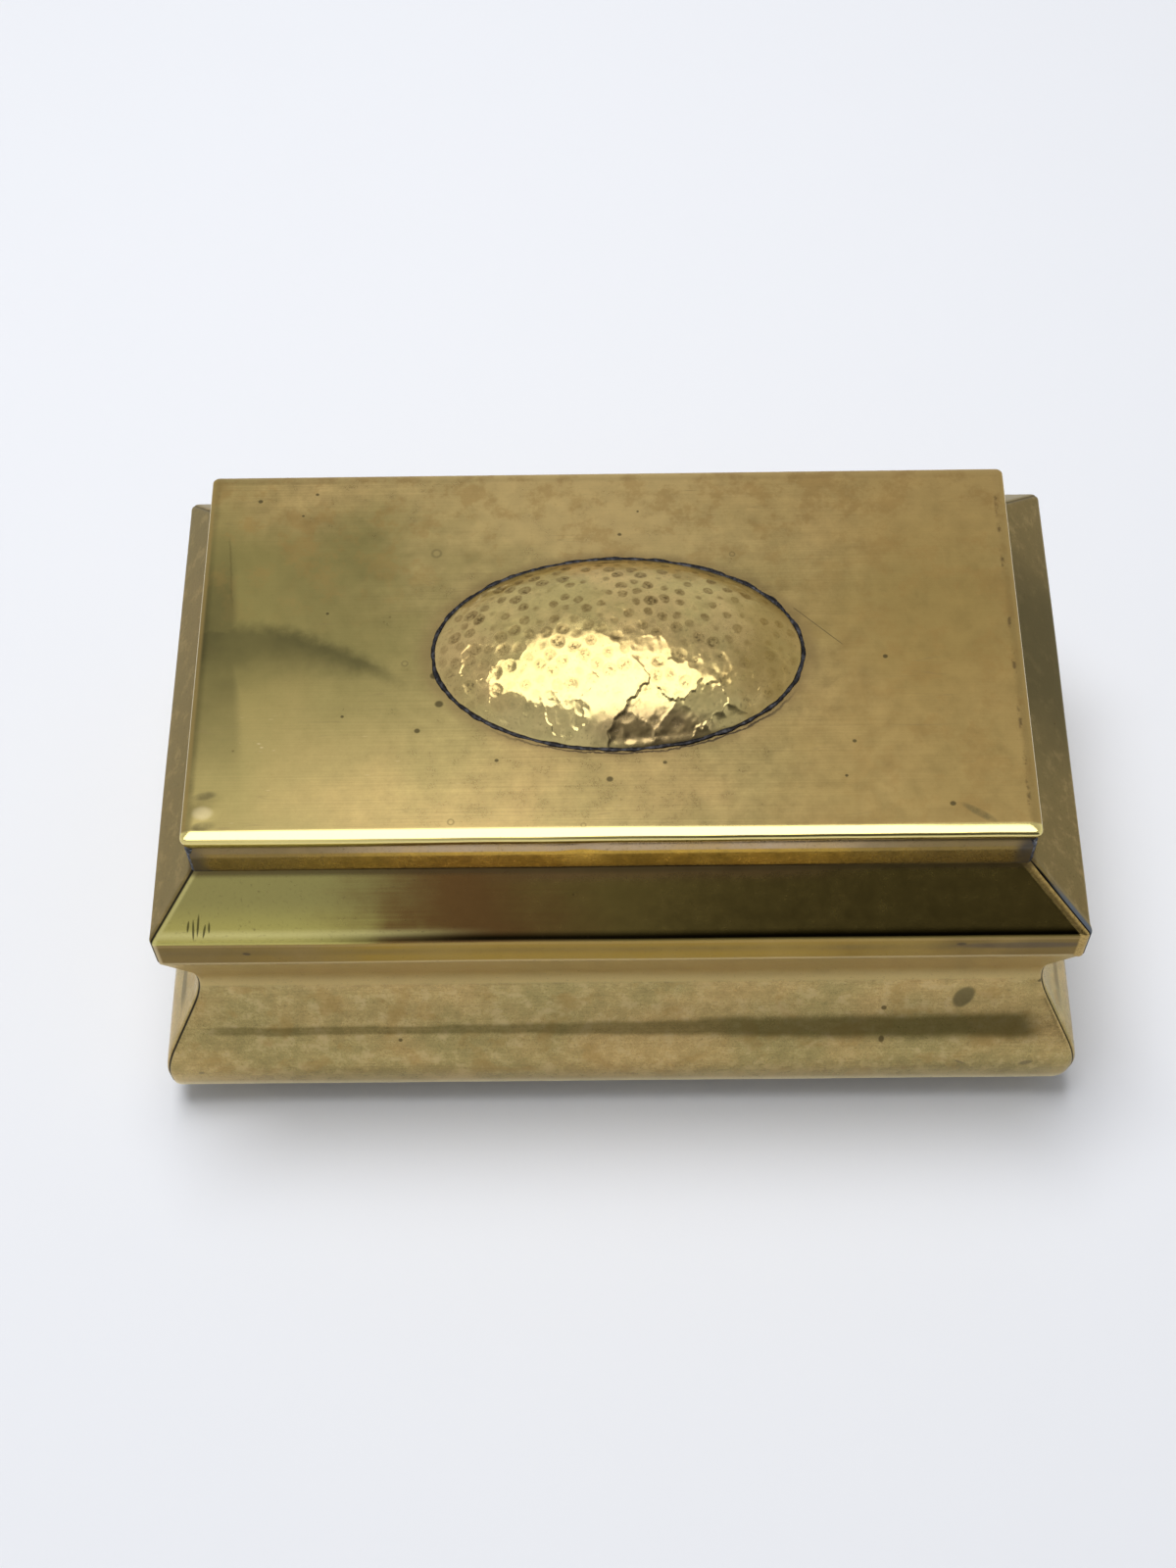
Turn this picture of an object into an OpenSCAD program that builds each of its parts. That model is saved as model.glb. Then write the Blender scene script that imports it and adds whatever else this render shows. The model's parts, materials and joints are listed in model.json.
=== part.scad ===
// Stamp box: a brass case with a bevelled shoulder, a coved side and a hinged lid
// that carries a hammered oval boss. A cedar lining with three scooped
// compartments stands inside, and the case rests on a baize-covered board.
// The front faces -Y, the hinge is at the back, and the origin is the middle of
// the resting face. All lengths are in millimetres.

/* [Lid] */
// Width of the lid, left to right
lid_w = 100; // [90:1:120]
// Depth of the lid's rim, from its top face to its lower edge
lid_h = 2.4; // [2.2:0.1:3]
// Thickness of the lid's sheet
lid_t = 0.9; // [0.7:0.1:1]
// Gap under the rim at the lid's right end; the left end rests on the neck
rim_gap = 0.6; // [0:0.1:0.8]

/* [Boss] */
// Length of the oval boss, left to right
boss_w = 44.6; // [36:0.2:50]
// Width of the oval boss, front to back
boss_d = 27.3; // [20:0.1:32]
// Rise of the boss above the lid
boss_h = 6; // [4:0.5:7]
// How far the boss was set to the right of the lid's middle
boss_x = 1.1; // [-2:0.1:2]
// How far the boss was set behind the lid's middle
boss_y = -0.9; // [-2:0.1:2]

/* [Neck] */
// Depth of the neck, front to back, on its outer faces
neck_d = 52.2; // [48:0.2:60]
// Thickness of the neck's strips
neck_t = 1.2; // [1.2:0.1:1.3]
// Height of the neck that shows above the shoulder
neck_h = 5.4; // [4.5:0.1:8]
// How far the neck was set to the left of the case's middle
neck_left_by = 0.9; // [-1.5:0.1:1.5]

/* [Case] */
// Thickness of the formed side sheets
side_t = 0.9; // [0.7:0.1:1]
// How far the band stands out from the neck
band_out = 6.5; // [5.5:0.1:7.5]
// Drop of the sloping shoulder
shoulder_h = 6.3; // [5:0.1:6.5]
// Height of the flat band under the shoulder
band_h = 5.6; // [5:0.1:8]
// Height of the cove and its flared foot, under the band
cove_h = 31.8; // [30:0.2:36]
// How far the foot stands out from the neck
foot_out = 9.5; // [9:0.1:10]

/* [Base] */
// Thickness of the base board
board_t = 2.6; // [2.5:0.1:4]
// Thickness of the baize under it
baize_t = 0.9; // [0.5:0.1:1.5]
// How far the board stands in from the foot's edge
board_in = 5.5; // [4:0.5:6]

/* [Lining] */
// Thickness of the cedar walls
cedar_t = 3; // [2.5:0.1:3.5]
// Thickness of the cedar floor
floor_t = 4; // [4:0.5:6]
// Thickness of the two dividers
divider_t = 2; // [1.5:0.1:3]
// Depth of the hollow in each scooped block
scoop_sag = 9; // [5:0.5:12]

/* [Hidden] */
$fn = 64;

// Colours
brass = [0.68, 0.57, 0.33];
old_brass = [0.56, 0.47, 0.29];
solder_grey = [0.42, 0.43, 0.45];
cedar = [0.62, 0.36, 0.22];
mahogany = [0.36, 0.17, 0.10];
baize_green = [0.10, 0.26, 0.16];

// The four sides, by the angle from the front to the face
front = 0;
right = 90;
back = 180;
left = 270;

// Outline of the neck, and the overhang of the lid over its faces
lid_over = 0.2;
neck_w = lid_w - 2 * lid_over;
neck_lap = 7;               // how far the strips run down behind the shoulder
neck_round = 0.4;           // rounding of the neck's top outer edge
bead_r = 0.5;               // solder bead on each upright corner of the neck

// Levels, from the resting face up
foot_z = baize_t + board_t;
band_low_z = foot_z + cove_h;
band_top_z = band_low_z + band_h;
shoulder_z = band_top_z + shoulder_h;
neck_top_z = shoulder_z + neck_h;
lid_top_z = neck_top_z + lid_h;
flange_top_z = foot_z + side_t;

// Side profile: the cove is two straight slopes that meet in a wide round
under_slope = 0.3214;       // run in, per unit of drop, under the band
flare_slope = 0.516;        // run out, per unit of drop, towards the foot
waist_drop = 11.75;         // from the band's lower edge to where the slopes cross
band_fold = 0.5;            // outer radius of the folds along the band
waist_round = 11.3;
flare_round = 12;
foot_round = 2;
flange_in = 1;              // how far the return flange ends outside the neck
arc_steps = 8;
tight_fold = 0.1;           // least radius on the inner side of a fold

// Hinge: five tube knuckles on one wire, let into the back of neck and lid
hinge_l = 60;
knuckles = 5;
knuckle_r = 1.1;
knuckle_gap = 0.15;
pin_r = 0.55;
pin_play = 0.05;            // radial play of the pin in the lid's knuckles
groove_play = 0.15;         // room round a knuckle in the other part's groove
axis_in = 0.2;              // axis inside the neck's back face
axis_y = neck_d / 2 - axis_in;
axis_z = neck_top_z;
lid_back = 0.55;            // lid's back face behind the axis
back_relief = 0.4;          // clearance of the lid's back rim above the neck

// Outline of the lid
lid_y0 = -(neck_d / 2 + lid_over);
lid_y1 = axis_y + lid_back;
lid_d = lid_y1 - lid_y0;
lid_y = (lid_y0 + lid_y1) / 2;
lid_round = 0.9;
lid_corner = 0.7;

// Base
board_w = neck_w + 2 * (foot_out - board_in);
board_d = neck_d + 2 * (foot_out - board_in);
board_corner = 2;
baize_in = 0.5;             // baize inside the board's edge
plate_t = 0.8;
plate_out = 7;              // base plate's edge outside the neck's faces
screw_r = 1.1;
screw_head_r = 2.2;
screw_l = 7.8;
screw_play = 0.1;
screw_slot = 0.5;
screw_at = [44, 20];
screw_sink = 0.1;
screw_z = baize_t + screw_sink;

// Lining
lining_gap = 0.25;
lining_w = neck_w - 2 * neck_t - 2 * lining_gap;
lining_d = neck_d - 2 * neck_t - 2 * lining_gap;
lining_z = flange_top_z + plate_t;
wall_z = lining_z + floor_t;
rim_drop = 2.7;             // top of the cedar below the neck's
rim_z = neck_top_z - rim_drop;
rebate = 1.5;
groove_depth = 1;
divider_drop = 2;
well_w = (lining_w - 2 * cedar_t - 2 * divider_t) / 3;
well_d = lining_d - 2 * cedar_t;
scoop_gap = 0.1;
scoop_drop = 9.5;           // edge of the hollows below the cedar's top
scoop_top_z = rim_z - scoop_drop;
divider_x = (well_w + divider_t) / 2;
well_x = well_w + divider_t;

// Boss: an oval cap, cut from an ellipsoid at cap_share of its half width
boss_t = 0.8;
cap_share = 0.8;
boss_rings = 10;
boss_steps = 56;
fillet = 0.5;               // solder fillet round the boss

eps = 0.01;
big = 200;

// Helpers
function unit(v) = v / norm(v);

// normal on the right of the way from a to b: into the sheet, towards the box
function right_of(a, b) = let (d = unit(b - a)) [d.y, -d.x];

function turn(a, v, b) = cross(v - a, b - v);

// corner v of a path after the whole path moves t to its right
function moved_corner(a, v, b, t) =
    let (n1 = right_of(a, v), n2 = right_of(v, b))
    v + (n1 + n2) * t / (1 + n1 * n2);

// points of the arc of radius r that rounds corner v
function rounded(a, v, b, r) =
    let (
        to_a = unit(a - v),
        to_b = unit(b - v),
        half = acos(to_a * to_b) / 2,
        centre = v + unit(to_a + to_b) * r / sin(half),
        p = v + to_a * r / tan(half) - centre,
        q = v + to_b * r / tan(half) - centre,
        start = atan2(p.y, p.x),
        sweep = (atan2(q.y, q.x) - start + 540) % 360 - 180
    )
    [for (i = [0:arc_steps]) centre + r * [cos(start + sweep * i / arc_steps),
                                           sin(start + sweep * i / arc_steps)]];

function reversed(list) = [for (i = [len(list) - 1:-1:0]) list[i]];

// the neck stands off the case's middle, so one shoulder runs further than the other
function extra(side) = side == right ? neck_left_by : side == left ? -neck_left_by : 0;

function next_side(side, step) = (side + step + 360) % 360;

// neck's length along a side, and the distance of that face from its middle
function span(side) = side % 180 == 0 ? neck_w : neck_d;
function reach(side) = (side % 180 == 0 ? neck_d : neck_w) / 2;

// corners of a side's outer face: distance out from the neck, and height
waist_z = band_low_z - waist_drop;
waist_out = band_out - under_slope * waist_drop;
flare_z = waist_z - (foot_out - waist_out) / flare_slope;
function side_corners(e) = [
    [0, shoulder_z],
    [band_out + e, band_top_z],
    [band_out + e, band_low_z],
    [waist_out + e, waist_z],
    [foot_out + e, flare_z],
    [foot_out + e, foot_z],
    [flange_in + e, foot_z]
];
side_radii = [0, band_fold, band_fold, waist_round, flare_round, foot_round];

// the face that lies t behind the outer one, with its folds
function side_face(t, e) =
    let (
        c = side_corners(e),
        last = len(c) - 1,
        moved = [for (i = [0:last])
            i == 0 ? c[0] + right_of(c[0], c[1]) * t
            : i == last ? c[last] + right_of(c[last - 1], c[last]) * t
            : moved_corner(c[i - 1], c[i], c[i + 1], t)],
        radius = [for (i = [1:last - 1])
            max(tight_fold, side_radii[i] + (turn(c[i - 1], c[i], c[i + 1]) > 0 ? t : -t))]
    )
    concat([moved[0]],
           [for (i = [1:last - 1])
               each rounded(moved[i - 1], moved[i], moved[i + 1], radius[i - 1])],
           [moved[last]]);

// cross-section of a side sheet, cut upright where it meets the neck
module side_section(e) {
    intersection() {
        polygon(concat(side_face(0, e), reversed(side_face(side_t, e))));
        square([big, big]);
    }
}

// cross-section of a neck strip, whose outer face is at 0
module neck_section() {
    h = neck_lap + neck_h;
    translate([-neck_t, shoulder_z - neck_lap]) {
        square([neck_t, h - neck_round]);
        square([neck_t - neck_round, h]);
        translate([neck_t - neck_round, h - neck_round]) circle(neck_round);
    }
}

// runs a cross-section along the side of the neck
module run_along(side) {
    translate([0, -reach(side), 0]) rotate([90, 0, -90])
        linear_extrude(big, center = true) children();
}

// space between the mitres of a side whose corners are at x0 and x1, y out from
// the middle; splay is how far the ends run left, out and right
module wedge(x0, x1, y, splay, z0, z1) {
    translate([0, 0, z0]) linear_extrude(z1 - z0) polygon([
        [x0 + splay[0], splay[1] - y],
        [x1 - splay[2], splay[1] - y],
        [x1 + splay[2], -splay[1] - y],
        [x0 - splay[0], -splay[1] - y]
    ]);
}

module box_on(w, d, z0, z1) {
    translate([-w / 2, -d / 2, z0]) cube([w, d, z1 - z0]);
}

module rounded_slab(w, d, z0, z1, r) {
    translate([0, 0, z0]) linear_extrude(z1 - z0) {
        square([w - 2 * r, d], center = true);
        square([w, d - 2 * r], center = true);
        for (sx = [-1, 1], sy = [-1, 1])
            translate([sx * (w / 2 - r), sy * (d / 2 - r)]) circle(r);
    }
}

// the neck's own middle, off the case's
module on_neck() {
    translate([-neck_left_by, 0, 0]) children();
}

// Case
module side_sheet(side) {
    e = extra(side);
    e_left = extra(next_side(side, -90));
    e_right = extra(next_side(side, 90));
    mitre = 10;
    color(brass) on_neck() rotate(side) intersection() {
        run_along(side) side_section(e);
        union() {
            wedge(-(span(side) / 2 + band_out + e_left), span(side) / 2 + band_out + e_right,
                  reach(side) + band_out + e, [mitre, mitre, mitre], 0, band_top_z);
            wedge(-span(side) / 2, span(side) / 2, reach(side),
                  2 * [band_out + e_left, band_out + e, band_out + e_right],
                  band_top_z, lid_top_z);
        }
    }
}

module front_panel() { side_sheet(front); }

module right_panel() { side_sheet(right); }

module back_panel() { side_sheet(back); }

module left_panel() { side_sheet(left); }

// a strip of the neck, notched at its outer corners for the solder
module neck_strip(side) {
    mitre = 10;
    color(old_brass) on_neck() difference() {
        rotate(side) intersection() {
            run_along(side) neck_section();
            wedge(-span(side) / 2, span(side) / 2, reach(side), [mitre, mitre, mitre],
                  0, lid_top_z);
        }
        for (sx = [-1, 1], sy = [-1, 1])
            translate([sx * neck_w / 2, sy * neck_d / 2, 0])
                cube([2 * bead_r, 2 * bead_r, big], center = true);
    }
}

module neck_front() { neck_strip(front); }

module neck_right() { neck_strip(right); }

module neck_left() { neck_strip(left); }

// the back strip is grooved along its top for the hinge
module neck_back() {
    color(old_brass) difference() {
        neck_strip(back);
        knuckle_row(0, knuckle_r);
        knuckle_row(1, knuckle_r + groove_play);
    }
}

// a quarter-round bead of solder up each corner of the neck
module corner_solder() {
    color(solder_grey) on_neck() for (sx = [-1, 1], sy = [-1, 1])
        translate([sx * (neck_w / 2 - bead_r), sy * (neck_d / 2 - bead_r), shoulder_z])
            intersection() {
                cylinder(r = bead_r, h = neck_h - neck_round);
                translate([sx > 0 ? 0 : -bead_r, sy > 0 ? 0 : -bead_r, 0])
                    cube([bead_r, bead_r, neck_h]);
            }
}

// Base
module at_screws() {
    for (sx = [-1, 1], sy = [-1, 1])
        translate([sx * screw_at.x, sy * screw_at.y, screw_z]) children();
}

// shank and countersunk head, standing on its head, grown by g
module screw_form(g) {
    cylinder(r = screw_r + g, h = screw_l);
    cylinder(r1 = screw_head_r + g, r2 = screw_r + g, h = screw_head_r - screw_r);
}

module base_plate() {
    color(brass) difference() {
        box_on(neck_w + 2 * plate_out, neck_d + 2 * plate_out, flange_top_z, lining_z);
        at_screws() cylinder(r = screw_r + screw_play, h = screw_l);
    }
}

module base_board() {
    color(mahogany) difference() {
        rounded_slab(board_w, board_d, baize_t, foot_z, board_corner);
        at_screws() {
            screw_form(screw_play);
            translate([0, 0, -screw_sink - eps])
                cylinder(r = screw_head_r + screw_play, h = screw_sink + 2 * eps);
        }
    }
}

module baize_pad() {
    color(baize_green) rounded_slab(board_w - 2 * baize_in, board_d - 2 * baize_in,
                                    0, baize_t, board_corner);
}

module base_screws() {
    color(brass) at_screws() difference() {
        screw_form(0);
        translate([-screw_head_r - 1, -screw_slot / 2, -1])
            cube([2 * screw_head_r + 2, screw_slot, 1 + screw_slot]);
    }
}

// Lining
module cedar_floor() {
    color(cedar) difference() {
        on_neck() box_on(lining_w, lining_d, lining_z, wall_z);
        at_screws() cylinder(r = screw_r, h = screw_l);
    }
}

// a long wall, rebated at its ends and grooved for the dividers
module long_wall(sy) {
    inner = lining_d / 2 - cedar_t;
    color(cedar) on_neck() difference() {
        translate([-lining_w / 2, sy > 0 ? inner : -lining_d / 2, wall_z])
            cube([lining_w, cedar_t, rim_z - wall_z]);
        for (sx = [-1, 1]) {
            translate([sx * lining_w / 2, sy * inner, wall_z])
                cube([2 * cedar_t, 2 * rebate, big], center = true);
            translate([sx * divider_x, sy * inner, wall_z])
                cube([divider_t, 2 * groove_depth, big], center = true);
        }
    }
}

module cedar_front() { long_wall(-1); }

module cedar_back() { long_wall(1); }

module short_wall(sx) {
    color(cedar) on_neck() translate([sx * (lining_w - cedar_t) / 2, 0, 0])
        box_on(cedar_t, well_d + 2 * rebate, wall_z, rim_z);
}

module cedar_left() { short_wall(-1); }

module cedar_right() { short_wall(1); }

module divider(x) {
    color(cedar) on_neck() translate([x, 0, 0])
        box_on(divider_t, well_d + 2 * groove_depth, wall_z, rim_z - divider_drop);
}

module divider_left() { divider(-divider_x); }

module divider_right() { divider(divider_x); }

// a block whose top is hollowed to a round, so a stamp slides up under a finger
module scoop(x) {
    d = well_d - 2 * scoop_gap;
    r = (d * d / 4 + scoop_sag * scoop_sag) / (2 * scoop_sag);
    color(cedar) on_neck() translate([x, 0, 0]) difference() {
        box_on(well_w - 2 * scoop_gap, d, wall_z, scoop_top_z);
        translate([0, 0, scoop_top_z - scoop_sag + r]) rotate([0, 90, 0])
            cylinder(r = r, h = well_w + 2, center = true, $fn = 128);
    }
}

module scoop_left() { scoop(-well_x); }

module scoop_middle() { scoop(0); }

module scoop_right() { scoop(well_x); }

// Hinge
// every second knuckle from the first given one, as rods of radius r; the room
// that the other part leaves for them is longer than they are
module knuckle_row(first, r) {
    pitch = hinge_l / knuckles;
    l = r > knuckle_r ? pitch + knuckle_gap : pitch - knuckle_gap;
    on_neck() for (i = [first:2:knuckles - 1])
        translate([-hinge_l / 2 + pitch * (i + 0.5), axis_y, axis_z]) rotate([0, 90, 0])
            cylinder(r = r, h = l, center = true);
}

module pin_rod(r) {
    on_neck() translate([0, axis_y, axis_z]) rotate([0, 90, 0])
        cylinder(r = r, h = hinge_l, center = true);
}

module case_knuckles() {
    color(brass) difference() {
        knuckle_row(0, knuckle_r);
        pin_rod(pin_r);
    }
}

module hinge_pin() { color(brass) pin_rod(pin_r); }

module lid_knuckles() {
    color(brass) difference() {
        knuckle_row(1, knuckle_r);
        pin_rod(pin_r + pin_play);
    }
}

// Lid
// a bar of width w and height h whose two top edges are rounded
module eased_bar(w, h, r) {
    translate([-w / 2, 0]) square([w, h - r]);
    translate([-w / 2 + r, 0]) square([w - 2 * r, h]);
    for (s = [-1, 1]) translate([s * (w / 2 - r), h - r]) circle(r);
}

module lid_plate() {
    color(brass) difference() {
        on_neck() difference() {
            translate([0, lid_y, 0]) intersection() {
                rounded_slab(lid_w, lid_d, neck_top_z, lid_top_z, lid_corner);
                translate([0, 0, neck_top_z]) rotate([90, 0, 90])
                    linear_extrude(big, center = true) eased_bar(lid_d, lid_h, lid_round);
                translate([0, 0, neck_top_z]) rotate([90, 0, 0])
                    linear_extrude(big, center = true) eased_bar(lid_w, lid_h, lid_round);
            }
            translate([0, lid_y, 0])
                box_on(lid_w - 2 * lid_t, lid_d - 2 * lid_t, 0, lid_top_z - lid_t);
            rim_slant();
            translate([-big / 2, lid_y1 - lid_t - back_relief, 0])
                cube([big, big, neck_top_z + back_relief]);
        }
        knuckle_row(1, knuckle_r);
        knuckle_row(0, knuckle_r + groove_play);
    }
}

// what the rim lost under it, from nothing at the left end to rim_gap at the right
module rim_slant() {
    translate([0, 0, neck_top_z]) rotate([90, 0, 0]) linear_extrude(big, center = true)
        polygon([[-lid_w / 2, 0], [lid_w / 2, -1], [lid_w / 2, rim_gap]]);
}

// height of the cap at share s of the way from its middle to its rim
function cap(s) =
    let (rim = sqrt(1 - cap_share * cap_share))
    (sqrt(1 - cap_share * cap_share * s * s) - rim) / (1 - rim);

// a closed oval cap of half widths a and b and rise h, as rings of points
module oval_cap(a, b, h) {
    n = boss_steps;
    rings = [for (i = [0:boss_rings - 1]) 1 - i / boss_rings];
    points = concat(
        [for (s = rings, k = [0:n - 1])
            [s * a * cos(360 * k / n), s * b * sin(360 * k / n), h * cap(s)]],
        [[0, 0, h]]);
    top = len(points) - 1;
    faces = concat(
        [[for (k = [0:n - 1]) k]],
        [for (i = [0:boss_rings - 2], k = [0:n - 1])
            each let (p = i * n + k, q = i * n + (k + 1) % n)
            [[p, q + n, q], [p, p + n, q + n]]],
        [for (k = [0:n - 1]) [(boss_rings - 1) * n + k, top, (boss_rings - 1) * n + (k + 1) % n]]);
    polyhedron(points, faces);
}

module on_lid() {
    on_neck() translate([boss_x, boss_y, lid_top_z]) children();
}

module hammered_boss() {
    color(brass) on_lid() difference() {
        oval_cap(boss_w / 2, boss_d / 2, boss_h);
        translate([0, 0, -eps])
            oval_cap(boss_w / 2 - boss_t, boss_d / 2 - boss_t, boss_h - boss_t);
    }
}

// a low fillet of solder on the lid, all round the boss
module boss_solder() {
    color(solder_grey) on_lid() linear_extrude(fillet / 2) difference() {
        scale([boss_w / 2 + fillet, boss_d / 2 + fillet]) circle(1);
        scale([boss_w / 2, boss_d / 2]) circle(1);
    }
}

front_panel();
back_panel();
left_panel();
right_panel();
neck_front();
neck_back();
neck_left();
neck_right();
corner_solder();
base_plate();
base_board();
baize_pad();
base_screws();
cedar_floor();
cedar_front();
cedar_back();
cedar_left();
cedar_right();
divider_left();
divider_right();
scoop_left();
scoop_middle();
scoop_right();
case_knuckles();
hinge_pin();
lid_plate();
lid_knuckles();
hammered_boss();
boss_solder();
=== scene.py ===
import json
import math
import bmesh
import bpy
from mathutils import Matrix, Vector, noise


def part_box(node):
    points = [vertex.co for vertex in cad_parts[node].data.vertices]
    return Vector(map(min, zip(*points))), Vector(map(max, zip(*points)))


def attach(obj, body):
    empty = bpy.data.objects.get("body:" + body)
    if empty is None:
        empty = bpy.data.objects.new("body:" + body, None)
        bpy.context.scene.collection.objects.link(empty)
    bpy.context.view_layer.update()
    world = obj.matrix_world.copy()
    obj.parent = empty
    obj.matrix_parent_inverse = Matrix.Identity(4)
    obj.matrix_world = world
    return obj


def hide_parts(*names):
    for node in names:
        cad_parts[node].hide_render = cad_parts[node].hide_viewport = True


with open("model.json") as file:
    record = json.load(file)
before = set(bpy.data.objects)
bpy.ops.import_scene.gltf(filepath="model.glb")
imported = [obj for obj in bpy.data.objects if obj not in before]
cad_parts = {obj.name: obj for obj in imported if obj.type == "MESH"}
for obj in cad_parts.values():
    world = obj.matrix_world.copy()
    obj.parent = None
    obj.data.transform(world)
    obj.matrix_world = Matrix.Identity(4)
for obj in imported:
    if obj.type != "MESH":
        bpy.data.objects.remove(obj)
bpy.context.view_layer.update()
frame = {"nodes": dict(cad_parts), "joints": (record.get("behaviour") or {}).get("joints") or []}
mm = 0.001
print("frame loaded:", len(frame["nodes"]), "nodes")


# Camera: a phone's view from above the front edge, measured from the box's middle
camera = {
    "place": (-0.35, -156.2, 293.3),    # mm
    "pitch": 60.1,                      # degrees below the horizon
    "yaw": 1.3,
    "roll": -1.75,
    "lens": 54,                         # on a sensor whose long side is 36 mm
}


def makeCamera():
    pitch, yaw, roll = (math.radians(camera[k]) for k in ("pitch", "yaw", "roll"))
    turn = Matrix.Rotation(yaw, 3, "Z")
    ahead = turn @ Vector((0, math.cos(pitch), -math.sin(pitch)))
    level = turn @ Vector((1, 0, 0))
    above = turn @ Vector((0, math.sin(pitch), math.cos(pitch)))
    right = math.cos(roll) * level + math.sin(roll) * above
    up = -math.sin(roll) * level + math.cos(roll) * above
    data = bpy.data.cameras.new("camera")
    data.lens = camera["lens"]
    data.sensor_width = 36
    data.clip_start, data.clip_end = 0.01, 10
    seen = bpy.data.objects.new("camera", data)
    place = Matrix.Translation(Vector(camera["place"]) * mm)
    seen.matrix_world = place @ Matrix((right, up, -ahead)).transposed().to_4x4()
    bpy.context.scene.collection.objects.link(seen)
    bpy.context.scene.camera = seen


makeCamera()


# Shader sums
class Wire:
    # a socket in a node tree; the usual signs on it add Math nodes
    def __init__(self, tree, socket=None):
        self.tree = tree
        self.socket = socket

    def node(self, kind, settings=None, values=None, out=0):
        made = self.tree.nodes.new(kind)
        for name, value in (settings or {}).items():
            if name == "stops":
                ramp = made.color_ramp
                while len(ramp.elements) < len(value):
                    ramp.elements.new(0.5)
                for element, (where, colour) in zip(ramp.elements, value):
                    element.position = where
                    element.color = (*colour, 1)
            else:
                setattr(made, name, value)
        for name, value in (values or {}).items():
            if isinstance(value, Wire):
                self.tree.links.new(value.socket, made.inputs[name])
            else:
                made.inputs[name].default_value = value
        return Wire(self.tree, made.outputs[out])

    def sum(self, operation, *terms):
        return self.node("ShaderNodeMath", {"operation": operation}, dict(enumerate(terms)))

    def __add__(self, other):
        return self.sum("ADD", self, other)

    def __sub__(self, other):
        return self.sum("SUBTRACT", self, other)

    def __rsub__(self, other):
        return self.sum("SUBTRACT", other, self)

    def __mul__(self, other):
        return self.sum("MULTIPLY", self, other)

    def __truediv__(self, other):
        return self.sum("DIVIDE", self, other)

    def __abs__(self):
        return self.sum("ABSOLUTE", self)

    def root(self):
        return self.sum("SQRT", self)

    def sine(self):
        return self.sum("SINE", self)

    def most(self, other):
        return self.sum("MAXIMUM", self, other)

    def scaled(self, amount):
        # a colour made lighter or darker
        return self.node("ShaderNodeVectorMath", {"operation": "SCALE"},
                         {0: self, "Scale": amount})

    __radd__ = __add__
    __rmul__ = __mul__

    def clamp(self):
        return self.node("ShaderNodeClamp", None, {"Value": self})

    def over(self, low, high):
        # 0 below low and 1 above high, smooth between them
        return self.node("ShaderNodeMapRange", {"interpolation_type": "SMOOTHSTEP"},
                         {"Value": self, "From Min": low, "From Max": high})

    def under(self, low, high):
        return 1 - self.over(low, high)

    def line(self, at, halfWidth):
        # 1 at the value given, fading to 0 halfWidth away
        return abs(self - at).under(0, halfWidth)

    def tint(self, first, second):
        # the first colour where this is 0 and the second where it is 1
        def wired(colour):
            return colour if isinstance(colour, Wire) else (*colour, 1)
        return self.node("ShaderNodeMix", {"data_type": "RGBA"},
                         {0: self, 6: wired(first), 7: wired(second)}, out=2)


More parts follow.
